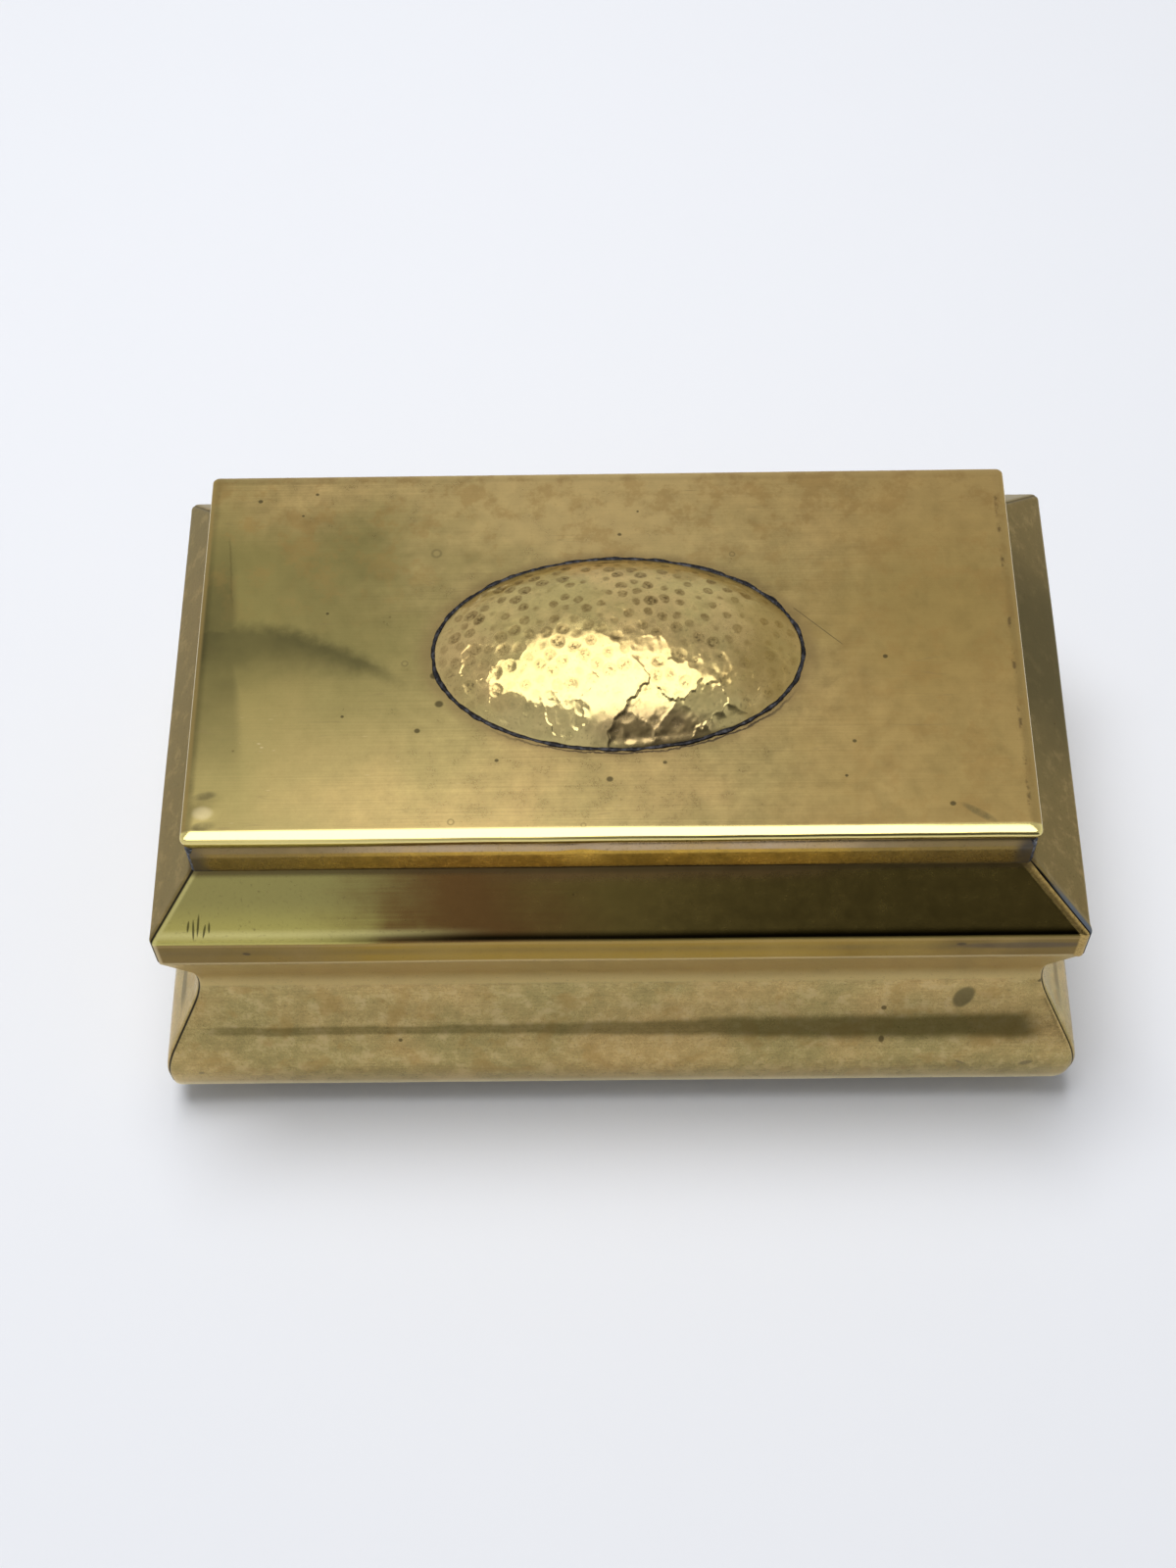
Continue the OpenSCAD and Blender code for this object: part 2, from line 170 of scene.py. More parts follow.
class Finish:
    # a material with its pattern coordinates in millimetres
    def __init__(self, name):
        self.material = bpy.data.materials.new(name)
        self.material.use_nodes = True
        self.tree = self.material.node_tree
        self.shader = self.tree.nodes["Principled BSDF"]
        self.wire = Wire(self.tree)
        self.place = self.wire.node("ShaderNodeTexCoord", out=3)
        self.x, self.y, self.z = self.split(self.place, 1 / mm)

    def split(self, vector, scale=1):
        parts = self.tree.nodes.new("ShaderNodeSeparateXYZ")
        self.tree.links.new(vector.socket, parts.inputs[0])
        return [Wire(self.tree, out) * scale for out in parts.outputs]

    def sheetUv(self):
        # the sheet's own map: millimetres along a side and down its profile
        return self.split(self.wire.node("ShaderNodeUVMap", {"uv_map": "sheet"}))[:2]

    def attribute(self, name):
        return self.wire.node("ShaderNodeAttribute", {"attribute_name": name}, out=2)

    def join(self, x, y, z=0.0):
        return self.wire.node("ShaderNodeCombineXYZ", None, {0: x, 1: y, 2: z})

    def cloud(self, where, grain, detail=3.0, rough=0.55, seed=0.0, out=0):
        # soft noise; grain is the size of its features, one number or one per axis
        sizes = grain if isinstance(grain, tuple) else (grain,) * 3
        moved = self.wire.node("ShaderNodeMapping", None, {
            "Vector": where, "Location": (seed, seed * 0.7, -seed),
            "Scale": tuple(1 / s for s in sizes)})
        return self.wire.node("ShaderNodeTexNoise", None, {
            "Vector": moved, "Scale": 1.0, "Detail": detail, "Roughness": rough}, out=out)

    def specks(self, where, spacing, radius, seed=0.0, spread=0.35):
        # scattered small round specks, of which spread is the share that shows
        moved = self.wire.node("ShaderNodeMapping", None, {
            "Vector": where, "Location": (seed, -seed, seed),
            "Scale": (1 / spacing,) * 3})
        cells = self.tree.nodes.new("ShaderNodeTexVoronoi")
        cells.inputs["Scale"].default_value = 1.0
        self.tree.links.new(moved.socket, cells.inputs["Vector"])
        chance = self.split(Wire(self.tree, cells.outputs["Color"]))[0]
        near = Wire(self.tree, cells.outputs["Distance"]).under(0, radius / spacing)
        return near * chance.under(spread - 0.05, spread)

    def spot(self, x, y, at, size, soft=0.4, turn=0.0):
        # an oval spot on a face: its middle, its half widths and its turn in degrees
        c, s = math.cos(math.radians(turn)), math.sin(math.radians(turn))
        dx, dy = x - at[0], y - at[1]
        a = (dx * c + dy * s) / size[0]
        b = (dy * c - dx * s) / size[1]
        return (a * a + b * b).under(1 - soft, 1 + soft)

    def set(self, **values):
        for name, value in values.items():
            socket = self.shader.inputs[name.replace("_", " ")]
            if isinstance(value, Wire):
                self.tree.links.new(value.socket, socket)
            else:
                socket.default_value = value
        return self.material

    def bump(self, height, depth, strength=1.0):
        # height is in shares of depth, and depth in millimetres
        return self.wire.node("ShaderNodeBump", None, {
            "Strength": strength, "Distance": depth * mm, "Height": height})


# Meshes
def meshPiece(name, points, faces, uv=None):
    # points in millimetres; uv holds one pair for each point
    mesh = bpy.data.meshes.new(name)
    mesh.from_pydata([Vector(p) * mm for p in points], [], faces)
    if uv:
        layer = mesh.uv_layers.new(name="sheet")
        for loop in mesh.loops:
            layer.data[loop.index].uv = uv[loop.vertex_index]
    mesh.validate()
    piece = bpy.data.objects.new(name, mesh)
    bpy.context.scene.collection.objects.link(piece)
    return piece


def tidyMesh(piece, sharp=35, weld=0.0):
    work = bmesh.new()
    work.from_mesh(piece.data)
    if weld:
        bmesh.ops.remove_doubles(work, verts=work.verts, dist=weld * mm)
    bmesh.ops.recalc_face_normals(work, faces=work.faces)
    for face in work.faces:
        face.smooth = True
    for edge in work.edges:
        edge.smooth = len(edge.link_faces) == 2 and edge.calc_face_angle(0) < math.radians(sharp)
    work.to_mesh(piece.data)
    work.free()


def applied(piece):
    # the piece with its modifiers worked into its mesh
    seen = piece.evaluated_get(bpy.context.evaluated_depsgraph_get())
    mesh = bpy.data.meshes.new_from_object(seen)
    piece.modifiers.clear()
    piece.data = mesh
    return piece


def place(piece, body, slot, material, *nodes):
    piece.data.materials.clear()
    piece.data.materials.append(material)
    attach(piece, body)
    if nodes:
        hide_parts(*nodes)
    return piece


def finishNode(name, material):
    node = frame["nodes"][name]
    node.data.materials.clear()
    node.data.materials.append(material)


def wobble(x, y, size, seed):
    # smooth hand-made unevenness from -1 to 1, size in millimetres
    return noise.noise(Vector((x / size, y / size, seed)))


def sizeOf(node):
    low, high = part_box(node)
    return low / mm, high / mm


lidLow, lidHigh = sizeOf("lid_plate")
neckFrontLow, neckFrontHigh = sizeOf("neck_front")
neckBackLow, neckBackHigh = sizeOf("neck_back")
neckLeftLow, neckLeftHigh = sizeOf("neck_left")
neckRightLow, neckRightHigh = sizeOf("neck_right")
panelFrontLow, panelFrontHigh = sizeOf("front_panel")
panelBackLow, panelBackHigh = sizeOf("back_panel")
bossLow, bossHigh = sizeOf("hammered_boss")
hinge = frame["joints"][0]
hingePlace = Vector(hinge["pos_m"]) / mm

neck = {
    "x": (neckLeftLow.x + neckRightHigh.x) / 2,
    "wide": neckRightHigh.x - neckLeftLow.x,
    "deep": neckBackHigh.y - neckFrontLow.y,
    "thick": neckFrontHigh.y - neckFrontLow.y,
    "low": neckFrontLow.z,
    "top": neckFrontHigh.z,
    "shoulder": panelFrontHigh.z,
}
neckShift = neck["x"]       # the neck's middle, off the case's


# Brass
class Brass(Finish):
    # aged brass; look is the dictionary beside each piece, and the piece's own
    # marks go on before it is finished
    def __init__(self, name, look, onSheet=False):
        super().__init__(name)
        self.look = look
        if onSheet:
            self.u, self.v = self.sheetUv()
        self.where = self.join(self.u, self.v) if onSheet else self.join(self.x, self.y, self.z)
        seed = look["seed"]
        clouds = self.cloud(self.where, look.get("clouds", 20.0), 4.0, 0.6, seed)
        self.mottle = self.cloud(self.where, look.get("mottle", 2.6), 6.0, 0.72, seed + 4)
        self.grain = self.cloud(self.where, 0.36, 4.0, 0.85, seed + 8)
        self.brush = self.cloud(self.where, look["brush"], 4.0, 0.75, seed + 9)
        self.pits = self.specks(self.where, 4.6, 0.24, seed, look.get("pits", 0.25))
        fine = self.cloud(self.where, 0.42, 3.0, 0.75, seed + 14)
        self.speckle = fine.over(0.56, 0.74) * look.get("speckle", 0.45)
        self.colour = clouds.over(0.38, 0.64).tint(look["olive"], look["tan"])
        uneven = (self.mottle - 0.5) * look.get("mottling", 1.1)
        uneven = uneven + (self.grain - 0.5) * look.get("graining", 0.9)
        uneven = uneven + (self.brush - 0.5) * look.get("brushing", 0.5)
        self.colour = self.colour.scaled(1 + uneven)
        self.rough = look["rough"] + (self.mottle - 0.5) * 0.25 + (self.grain - 0.5) * 0.1
        self.height = self.brush * 0.4 + self.grain * 0.3 + self.mottle * 0.5

    def mark(self, mask, colour, rough=0.1):
        # a stain, a worn place with rough below 0, or a painted highlight, shade or reflection
        self.colour = mask.tint(self.colour, colour)
        self.rough = self.rough + mask * rough

    def finished(self, depth=0.006):
        self.mark(self.speckle, self.look["pit"], 0.1)
        self.mark(self.pits * 0.8, self.look["pit"], 0.2)
        return self.set(Base_Color=self.colour, Roughness=self.rough.clamp(), Metallic=1.0,
                        Specular_Tint=(1.0, 0.96, 0.84, 1.0),
                        Normal=self.bump(self.height - self.pits * 1.5, depth))


# Sides: each one formed sheet, its cross-section swept between its two mitres
panel = {
    "sheet": 0.9,
    "foot": panelFrontLow.z,
    "shoulderDrop": 6.3,
    "bandHigh": 5.6,
    "waistDrop": 11.75,
    "underSlope": 0.3214,
    "flareSlope": 0.516,
    "flangeIn": 1.0,
    "upperFold": 1.0,
    "bandFold": 0.5,
    "waistRound": 11.3,
    "flareRound": 12.0,
    "footRound": 2.0,
    "arcSteps": 10,
    "step": 1.6,            # longest stretch along the profile
    "columns": 3.0,         # stretch along the side
    "cornerRound": 0.9,     # easing of the soldered mitres
    "footCorner": 1.4,      # the same at the foot
    "wornCorner": 2.6,      # the foot's front right corner
    "groove": 0.18,         # depth of the fine line left at a mitre
    "ridge": 0.14,          # the solder left standing on the front right mitre
    "wave": 0.09,           # unevenness of the hand-formed sheet
    "lineHeight": 15.8,     # where the cove turns out into the flare
    "lineSwell": 0.13,
}
sides = {
    "front": {"turn": 0, "extra": 0.0, "span": neck["wide"], "reach": neck["deep"] / 2},
    "right": {"turn": 90, "extra": -neckShift, "span": neck["deep"], "reach": neck["wide"] / 2},
    "back": {"turn": 180, "extra": 0.0, "span": neck["wide"], "reach": neck["deep"] / 2},
    "left": {"turn": 270, "extra": neckShift, "span": neck["deep"], "reach": neck["wide"] / 2},
}
sideNames = list(sides)
footOut = (panelFrontHigh.x - panelFrontLow.x - neck["wide"]) / 2
shoulderZ = neck["shoulder"]
bandTopZ = shoulderZ - panel["shoulderDrop"]
bandLowZ = bandTopZ - panel["bandHigh"]
bandOut = 6.5


def sideCorners(extra):
    waistOut = bandOut - panel["underSlope"] * panel["waistDrop"]
    waistZ = bandLowZ - panel["waistDrop"]
    flareZ = waistZ - (footOut - waistOut) / panel["flareSlope"]
    return [Vector(p) for p in (
        (0, shoulderZ),
        (bandOut + extra, bandTopZ),
        (bandOut + extra, bandLowZ),
        (waistOut + extra, waistZ),
        (footOut + extra, flareZ),
        (footOut + extra, panel["foot"]),
        (panel["flangeIn"] + extra, panel["foot"]))]


def roundedPath(corners, radii):
    # the path through the corners with each one rounded, as evenly set points
    path = [corners[0]]
    for before, corner, after, radius in zip(corners, corners[1:], corners[2:], radii):
        toA, toB = (before - corner).normalized(), (after - corner).normalized()
        half = math.acos(max(-1, min(1, toA.dot(toB)))) / 2
        centre = corner + (toA + toB).normalized() * radius / math.sin(half)
        start = corner + toA * radius / math.tan(half) - centre
        end = corner + toB * radius / math.tan(half) - centre
        sweep = start.angle_signed(end)
        for i in range(panel["arcSteps"] + 1):
            path.append(centre + Matrix.Rotation(-sweep * i / panel["arcSteps"], 2) @ start)
    path.append(corners[-1])
    return path


def subdivided(path, counts):
    fine = [path[0]]
    for a, b, count in zip(path, path[1:], counts):
        fine += [a.lerp(b, (k + 1) / count) for k in range(count)]
    return fine


def sideFaces(extra):
    # the outer and the inner face, point for point
    corners = sideCorners(extra)
    radii = [panel[k] for k in ("upperFold", "bandFold", "waistRound", "flareRound", "footRound")]
    along = [(b - a).normalized() for a, b in zip(corners, corners[1:])]
    inwards = [Vector((d.y, -d.x)) for d in along]
    t = panel["sheet"]
    moved = [corners[0] + Vector((0, -t / along[0].x))]
    for corner, n1, n2 in zip(corners[1:], inwards, inwards[1:]):
        moved.append(corner + (n1 + n2) * t / (1 + n1.dot(n2)))
    moved.append(corners[-1] + inwards[-1] * t)
    bends = [a.x * b.y - a.y * b.x for a, b in zip(along, along[1:])]
    innerRadii = [max(0.1, r + (t if bend > 0 else -t)) for r, bend in zip(radii, bends)]
    outer, inner = roundedPath(corners, radii), roundedPath(moved, innerRadii)
    lengths = [(b - a).length for a, b in zip(*(roundedPath(sideCorners(0), radii)[k:] for k in (0, 1)))]
    counts = [max(1, math.ceil(length / panel["step"])) for length in lengths]
    return subdivided(outer, counts), subdivided(inner, counts)


def endSteps(length):
    # distances along a side, close together where the mitres are eased
    near = [0, 0.05, 0.1, 0.16, 0.24, 0.34, 0.46, 0.6, 0.78, 1.0, 1.3, 1.7, 2.2, 3]
    count = max(2, round((length - 6) / panel["columns"]))
    middle = [3 + (length - 6) * k / count for k in range(1, count)]
    return near + middle + [length - d for d in reversed(near)]


def endRound(z, name, atRight):
    # the mitre's rounding at this height
    low = panel["footCorner"]
    if (name, atRight) in (("front", True), ("right", False)):
        low = panel["wornCorner"]
    share = max(0, min(1, (13 - z) / 8))
    return panel["cornerRound"] + (low - panel["cornerRound"]) * share * share


def makePanel(name, material):
    side = sides[name]
    here = sideNames.index(name)
    nextRight, nextLeft = (sides[sideNames[(here + k) % 4]] for k in (1, -1))
    outer, inner = sideFaces(side["extra"])
    rightOuter, rightInner = sideFaces(nextRight["extra"])
    leftOuter, leftInner = sideFaces(nextLeft["extra"])
    steps = endSteps(side["span"])
    spin = Matrix.Rotation(math.radians(side["turn"]), 3, "Z")
    down, arc = [0.0], 0.0
    for a, b in zip(outer, outer[1:]):
        arc += (b - a).length
        down.append(arc)
    ring = [(outer[i], leftOuter[i], rightOuter[i], down[i], 1) for i in range(len(outer))]
    ring += [(inner[i], leftInner[i], rightInner[i], down[i], 0)
             for i in reversed(range(len(inner)))]
    ridged = {"front": 1, "right": -1}.get(name, 0)     # the side on which a ridge stands
    points, uv, seams, faces = [], [], [], []
    for at in steps:
        fromLeft, fromRight = at, side["span"] - at
        nearest = min(fromLeft, fromRight)
        atRight = fromRight < fromLeft
        for own, left, right, v, isOuter in ring:
            low = -side["span"] / 2 - left.x
            high = side["span"] / 2 + right.x
            radius = endRound(own.y, name, atRight)
            reach = 0.293 * radius if isOuter else 0.0
            lowReach = 0.293 * endRound(own.y, name, False) * isOuter
            highReach = 0.293 * endRound(own.y, name, True) * isOuter
            a, b = low + lowReach, high - highReach
            if nearest <= 3:
                x = b - fromRight if atRight else a + fromLeft
            else:
                x = a + 3 + (b - a - 6) * (at - 3) / (side["span"] - 6)
            sink = 0.0
            if isOuter and nearest < 0.707 * radius:
                short = (radius - reach - nearest) / radius
                sink = radius - radius * math.sqrt(1 - short * short)
            if isOuter and 0.3 < v < down[-1] - 3:
                if ridged and (ridged > 0) == atRight and own.y > bandLowZ:
                    sink -= panel["ridge"] * max(0, 1 - (nearest / 1.2) ** 2)
                else:
                    sink += panel["groove"] * max(0, 1 - nearest / 0.13)
            proud = 0.0
            if isOuter and 1 < v:
                fade = min(1, (v - 1) / 4) * min(1, nearest / 2)
                proud = panel["wave"] * fade * wobble(x, v * 2.2, 24, side["turn"] + 3)
                rise = panel["lineHeight"] + max(0, -x - 20) * 0.03 - own.y
                swell = panel["lineSwell"] * (1 + 0.5 * x / 50 * (name == "front"))
                proud += swell * (1 + math.tanh(rise / 0.75)) / 2 * max(0, min(1, (own.y - 5) / 8))
                proud *= min(1, nearest / 1.5)
            y = -(side["reach"] + own.x - sink + proud)
            points.append(spin @ Vector((x, y, own.y)) + Vector((neckShift, 0, 0)))
            uv.append((x, v))
            seams.append(nearest)
    size = len(ring)
    for column in range(len(steps) - 1):
        for k in range(size):
            a, b = column * size + k, column * size + (k + 1) % size
            faces.append((a, b, b + size, a + size))
    wall = len(outer)
    for column in (0, len(steps) - 1):
        base = column * size
        for k in range(wall - 1):
            faces.append((base + k, base + k + 1, base + size - 2 - k, base + size - 1 - k))
    piece = meshPiece(name + "Panel", points, faces, uv)
    seam = piece.data.attributes.new("seam", "FLOAT", "POINT")
    seam.data.foreach_set("value", seams)
    tidyMesh(piece, 50)
    return place(piece, "case", "case_brass", material, name + "_panel")


sheetBrass = {
    "olive": (0.37, 0.29, 0.112), "tan": (0.475, 0.33, 0.128), "pit": (0.09, 0.06, 0.03),
    "brush": (24.0, 0.3, 1.0), "rough": 0.27, "mottling": 1.3, "seed": 2.0,
}
panelMarks = {
    # on the front side: middle along it, height, half widths, turn
    "bandSpots": ((41.9, 38.9, 0.6, 0.4, 0), (-44.0, 38.1, 0.5, 0.35, -20)),
    "coveSmudge": (44.8, 19.9, 1.2, 1.7, -35),
    "footMarks": ((53.5, 9.6, 0.9, 0.45, 20), (45.0, 9.8, 0.9, 0.2, -30),
                  (-53.8, 8.8, 0.4, 0.3, 0)),
    "coveSpecks": ((34.6, 18.4, 0.35, 0.3, 0), (34.5, 14.0, 0.35, 0.5, 0),
                   (54.2, 22.5, 0.5, 0.3, 0), (-27.4, 14.4, 0.25, 0.25, 0)),
    "nicks": ((-50.5, 42.4, 0.5, -14), (-49.9, 42.1, 0.85, -4), (-49.3, 42.5, 0.95, -10),
              (-48.6, 42.0, 0.6, -18), (-48.0, 42.3, 0.45, -6)),
}


def panelBrass(name, seed):
    f = Brass(name + "PanelBrass", dict(sheetBrass, seed=seed), onSheet=True)
    u, v, z = f.u, f.v, f.z
    front = name == "front"
    seam = f.attribute("seam")
    drift = (f.cloud(f.where, 8.0, 3.0, 0.55, seed + 20) - 0.5)
    bevel = z.over(bandTopZ - 0.5, bandTopZ - 0.1)
    band = z.over(bandLowZ - 0.3, bandLowZ + 0.3) * z.under(bandTopZ - 0.5, bandTopZ - 0.1)
    patches = f.mottle.over(0.5, 0.66)
    # cove and flare: pale patches; a duller upper part whose crisp lower edge is a painted reflection
    # boundary; and a paler lower flare with a cream lower edge, a painted reflection of the bright floor
    f.mark(z.under(22.4, 23.4) * patches * 0.6, (0.54, 0.41, 0.205))
    brown = f.cloud(f.where, 5.0, 3.0, 0.6, seed + 24).over(0.52, 0.66)
    f.mark(z.under(22.4, 23.4) * brown * 0.45, (0.36, 0.225, 0.07))
    f.mark(z.over(22.9, 23.5) * z.under(35, 35.6) * 0.85, (0.53, 0.40, 0.165))
    f.mark(z.under(4.6, 9.5) * (0.65 + drift), (0.66, 0.54, 0.31), 0.06)
    f.mark(z.under(4.6, 6.6) * 0.9, (0.95, 0.86, 0.62), 0.15)
    # the dark line where the cove turns out into the flare is a painted dark reflection, laid over the
    # swelling in the sheet
    rightwards = u.over(-25, 48)
    width = rightwards * (1.5 if front else 0.3) + 0.75
    line = (abs(z + drift * 1.2 - panel["lineHeight"]) / width).under(0.0, 1.3)
    line = line.over(0.0, 0.75) * (rightwards * 0.3 + 0.6) * (seam + drift * 2).over(1.5, 5)
    f.mark(line * 0.88, (0.085, 0.066, 0.016), 0.03)
    # band: browner, with pale lines along both folds that are painted highlights
    middle = abs(u + drift * 30).under(18, 52)
    f.mark(band * (0.9 + drift * 0.5), middle.tint((0.16, 0.095, 0.012), (0.32, 0.195, 0.012)), 0.05)
    f.mark(z.line((bandTopZ + bandLowZ) / 2 + 0.3, 1.5) * (0.35 + drift * 0.8), (0.15, 0.105, 0.035))
    f.mark(z.line(bandTopZ - 0.75, 0.45) * 0.4, (0.44, 0.32, 0.13))
    f.mark(z.line(bandLowZ + 0.25, 0.4) * 0.6, (0.60, 0.48, 0.27))
    if front:
        # the front bevel's colour runs from pale green-gold at the left through reddish to dark at the
        # right: a painted reflection of what lies in front
        streaky = u + drift * 18 + (f.brush - 0.5) * 8
        low = z.under(bandTopZ + 0.5, bandTopZ + 4)
        green = low.tint((0.35, 0.31, 0.105), (0.52, 0.46, 0.13))
        left = streaky.over(-36, -20).tint(green, (0.18, 0.092, 0.028))
        along = streaky.over(-16, 2).tint(left, (0.235, 0.172, 0.045))
        f.mark(bevel * 0.95, along, -0.04)
        red = z.over(shoulderZ - 1.6, shoulderZ - 0.6) * abs(u - 8 + drift * 10).under(12, 26)
        f.mark(red * 0.5, (0.20, 0.11, 0.055))
        # a pale yellow line just above the fold at the left, a painted highlight
        f.mark(z.line(bandTopZ + 0.75, 0.6) * u.under(-30, -12) * 0.7, (0.74, 0.66, 0.27), -0.08)
        # a black line just above the fold, a painted dark reflection
        f.mark(z.line(bandTopZ + 0.25, 0.75) * u.over(-40, -14), (0.012, 0.009, 0.003), -0.05)
        for at, high, tall, lean in panelMarks["nicks"]:
            nick = f.spot(u, z, (at, high), (0.13, tall), 0.6, lean)
            f.mark(nick * 0.8, (0.05, 0.045, 0.015))
        for at, high, wide, tall, turn in panelMarks["bandSpots"]:
            f.mark(f.spot(u, z, (at, high), (wide, tall), 0.5, turn) * 0.9, (0.08, 0.055, 0.025))
        # a dark streak on the band at the right, a painted reflection
        streak = f.spot(u, z, (49.5, 38.4), (7.5, 0.75), 0.75)
        f.mark(streak * (0.8 + drift), (0.105, 0.075, 0.045))
        at, high, wide, tall, turn = panelMarks["coveSmudge"]
        smudge = f.spot(u + drift * 1.5, z, (at, high), (wide, tall), 0.4, turn) * (0.5 + f.grain * 0.6)
        f.mark(smudge, (0.13, 0.105, 0.045))
        for key, colour in (("footMarks", (0.19, 0.15, 0.075)), ("coveSpecks", (0.07, 0.05, 0.02))):
            for at, high, wide, tall, turn in panelMarks[key]:
                f.mark(f.spot(u, z, (at, high), (wide, tall), 0.5, turn) * 0.75, colour)
        ridge = seam.under(0.95, 1.25) * u.over(0, 1) * z.over(34, 35)
        f.mark(ridge * (0.9 + drift), f.grain.over(0.35, 0.65).tint((0.33, 0.22, 0.07), (0.58, 0.41, 0.14)))
        rim = seam.over(0.1, 0.25) * seam.under(0.4, 0.8) * u.under(-1, 0) * z.over(34, 35)
        f.mark(rim * 0.7, z.over(bandTopZ - 1, bandTopZ).tint((0.55, 0.42, 0.22), (0.74, 0.66, 0.26)), -0.05)
    else:
        f.mark(bevel * 0.85, patches.tint((0.20, 0.145, 0.052), (0.30, 0.215, 0.085)), 0.05)
    if name == "right":
        # on the right side, a dark middle stretch of the bevel, a painted reflection
        f.mark(bevel * abs(u - 6 + drift * 10).under(5, 22) * 0.7, (0.08, 0.065, 0.025))
    f.mark(v.under(0.25, 1.0) * 0.8, (0.10, 0.07, 0.03), 0.1)
    rearEnd = {"left": u.under(-1, 0), "right": u.over(0, 1)}.get(name, 1.0)
    shown = 1 - u.over(0, 1) if front else 1 - rearEnd * 0.55
    f.mark(seam.under(0.07, 0.2) * shown, (0.02, 0.017, 0.012), 0.2)
    if name == "right":
        tinned = seam.under(0.35, 0.75) * u.under(-1, 0) * z.over(35, 37) * z.under(43, 46)
        f.mark(tinned, (0.14, 0.16, 0.185), 0.1)
    return f.finished(0.006)


for number, name in enumerate(sideNames):
    makePanel(name, panelBrass(name, 2.0 + number * 13))
print("side panels made")


# Neck: four upright strips under the lid
neckLook = {
    "olive": (0.46, 0.29, 0.05), "tan": (0.54, 0.325, 0.052), "pit": (0.10, 0.06, 0.03),
    "brush": (30.0, 30.0, 0.3), "rough": 0.24, "seed": 61.0, "clouds": 14.0, "pits": 0.4,
}
neckShape = {
    "worn": (0.4, 1.45),    # slope worn on the top edge: how far back, how far down
    "bead": 0.5,            # what the corners leave for the solder
    "step": 1.6,
    "wave": 0.05,
    "dent": (-3.3, 3.2, 0.35),  # place along the front, half width, depth
}


def neckSection():
    # outline of a strip, from its outer lower edge up and over: out, height, place down it
    t = neck["thick"]
    back, drop = neckShape["worn"]
    low, top = neck["low"], neck["top"]
    rows = [(0, low), (0, shoulderZ - 1)]
    rows += [(0, shoulderZ + (top - drop - shoulderZ) * k / 5) for k in range(6)]
    rows += [(-back * 0.12, top - drop + 0.12), (-back * 0.5, top - drop * 0.5),
             (-back, top - 0.12), (-back - 0.13, top)]
    rows += [(-t + 0.15, top), (-t, top - 0.15), (-t, shoulderZ), (-t, low)]
    return rows


def makeNeck(name, material):
    side = sides[name]
    spin = Matrix.Rotation(math.radians(side["turn"]), 3, "Z")
    rows = neckSection()
    bead = neckShape["bead"]
    count = round(side["span"] / neckShape["step"])
    shares = [0, 0.004] + [k / count for k in range(1, count)] + [0.996, 1]
    points, faces, uv = [], [], []
    for share in shares:
        for out, z in rows:
            end = max(bead, -out) if out > -bead else -out
            half = side["span"] / 2 - end
            x = -half + 2 * half * share
            uneven = neckShape["wave"] * wobble(x, z, 16, side["turn"] + 7) * (out > -0.9)
            if name == "front":
                middle, wide, depth = neckShape["dent"]
                near = max(0, 1 - ((x - middle) / wide) ** 2) ** 2
                high = max(0, min(1, (z - shoulderZ - 1) / (neck["top"] - shoulderZ - 1)))
                uneven -= depth * near * high * (out > -0.9)
                z -= 0.25 * near * (z > neck["top"] - 0.6)
            points.append(spin @ Vector((x, -(side["reach"] + out + uneven), z))
                          + Vector((neckShift, 0, 0)))
            uv.append((x, neck["top"] - z))
    size = len(rows)
    for column in range(len(shares) - 1):
        for k in range(size):
            a, b = column * size + k, column * size + (k + 1) % size
            faces.append((a, b, b + size, a + size))
    faces.append(tuple(range(size)))
    faces.append(tuple(range(len(points) - size, len(points))))
    piece = meshPiece("neck" + name.capitalize(), points, faces, uv)
    tidyMesh(piece, 40)
    return piece, material


def cutter(name, low, high, radius):
    # a rod along the hinge's line, from low to high
    work = bmesh.new()
    turn = Matrix.Rotation(math.radians(90), 4, "Y")
    at = Matrix.Translation(Vector(((low + high) / 2, hingePlace.y, hingePlace.z)) * mm)
    bmesh.ops.create_cone(work, cap_ends=True, segments=40, radius1=radius * mm,
                          radius2=radius * mm, depth=(high - low) * mm, matrix=at @ turn)
    mesh = bpy.data.meshes.new(name)
    work.to_mesh(mesh)
    work.free()
    rod = bpy.data.objects.new(name, mesh)
    bpy.context.scene.collection.objects.link(rod)
    return rod


barrel = {
    "long": 60.0,
    "knuckles": 5,
    "radius": 1.1,
    "gap": 0.15,
    "play": 0.15,
    "chamfer": 0.12,
}


def knuckleSpan(number, longer=0.0):
    pitch = barrel["long"] / barrel["knuckles"]
    middle = hingePlace.x - barrel["long"] / 2 + pitch * (number + 0.5)
    half = (pitch - barrel["gap"]) / 2 + longer
    return middle - half, middle + half


def grooved(piece, ownFirst):
    # cuts the piece's hinge grooves: close ones for its own knuckles, free for the others
    for number in range(barrel["knuckles"]):
        own = number % 2 == ownFirst
        low, high = knuckleSpan(number, 0.02 if own else barrel["gap"])
        rod = cutter("rod", low, high, barrel["radius"] + (-0.03 if own else barrel["play"]))
        cut = piece.modifiers.new("groove", "BOOLEAN")
        cut.operation, cut.solver, cut.object = "DIFFERENCE", "EXACT", rod
        applied(piece)
        bpy.data.objects.remove(rod)
    tidyMesh(piece, 40)
    return piece


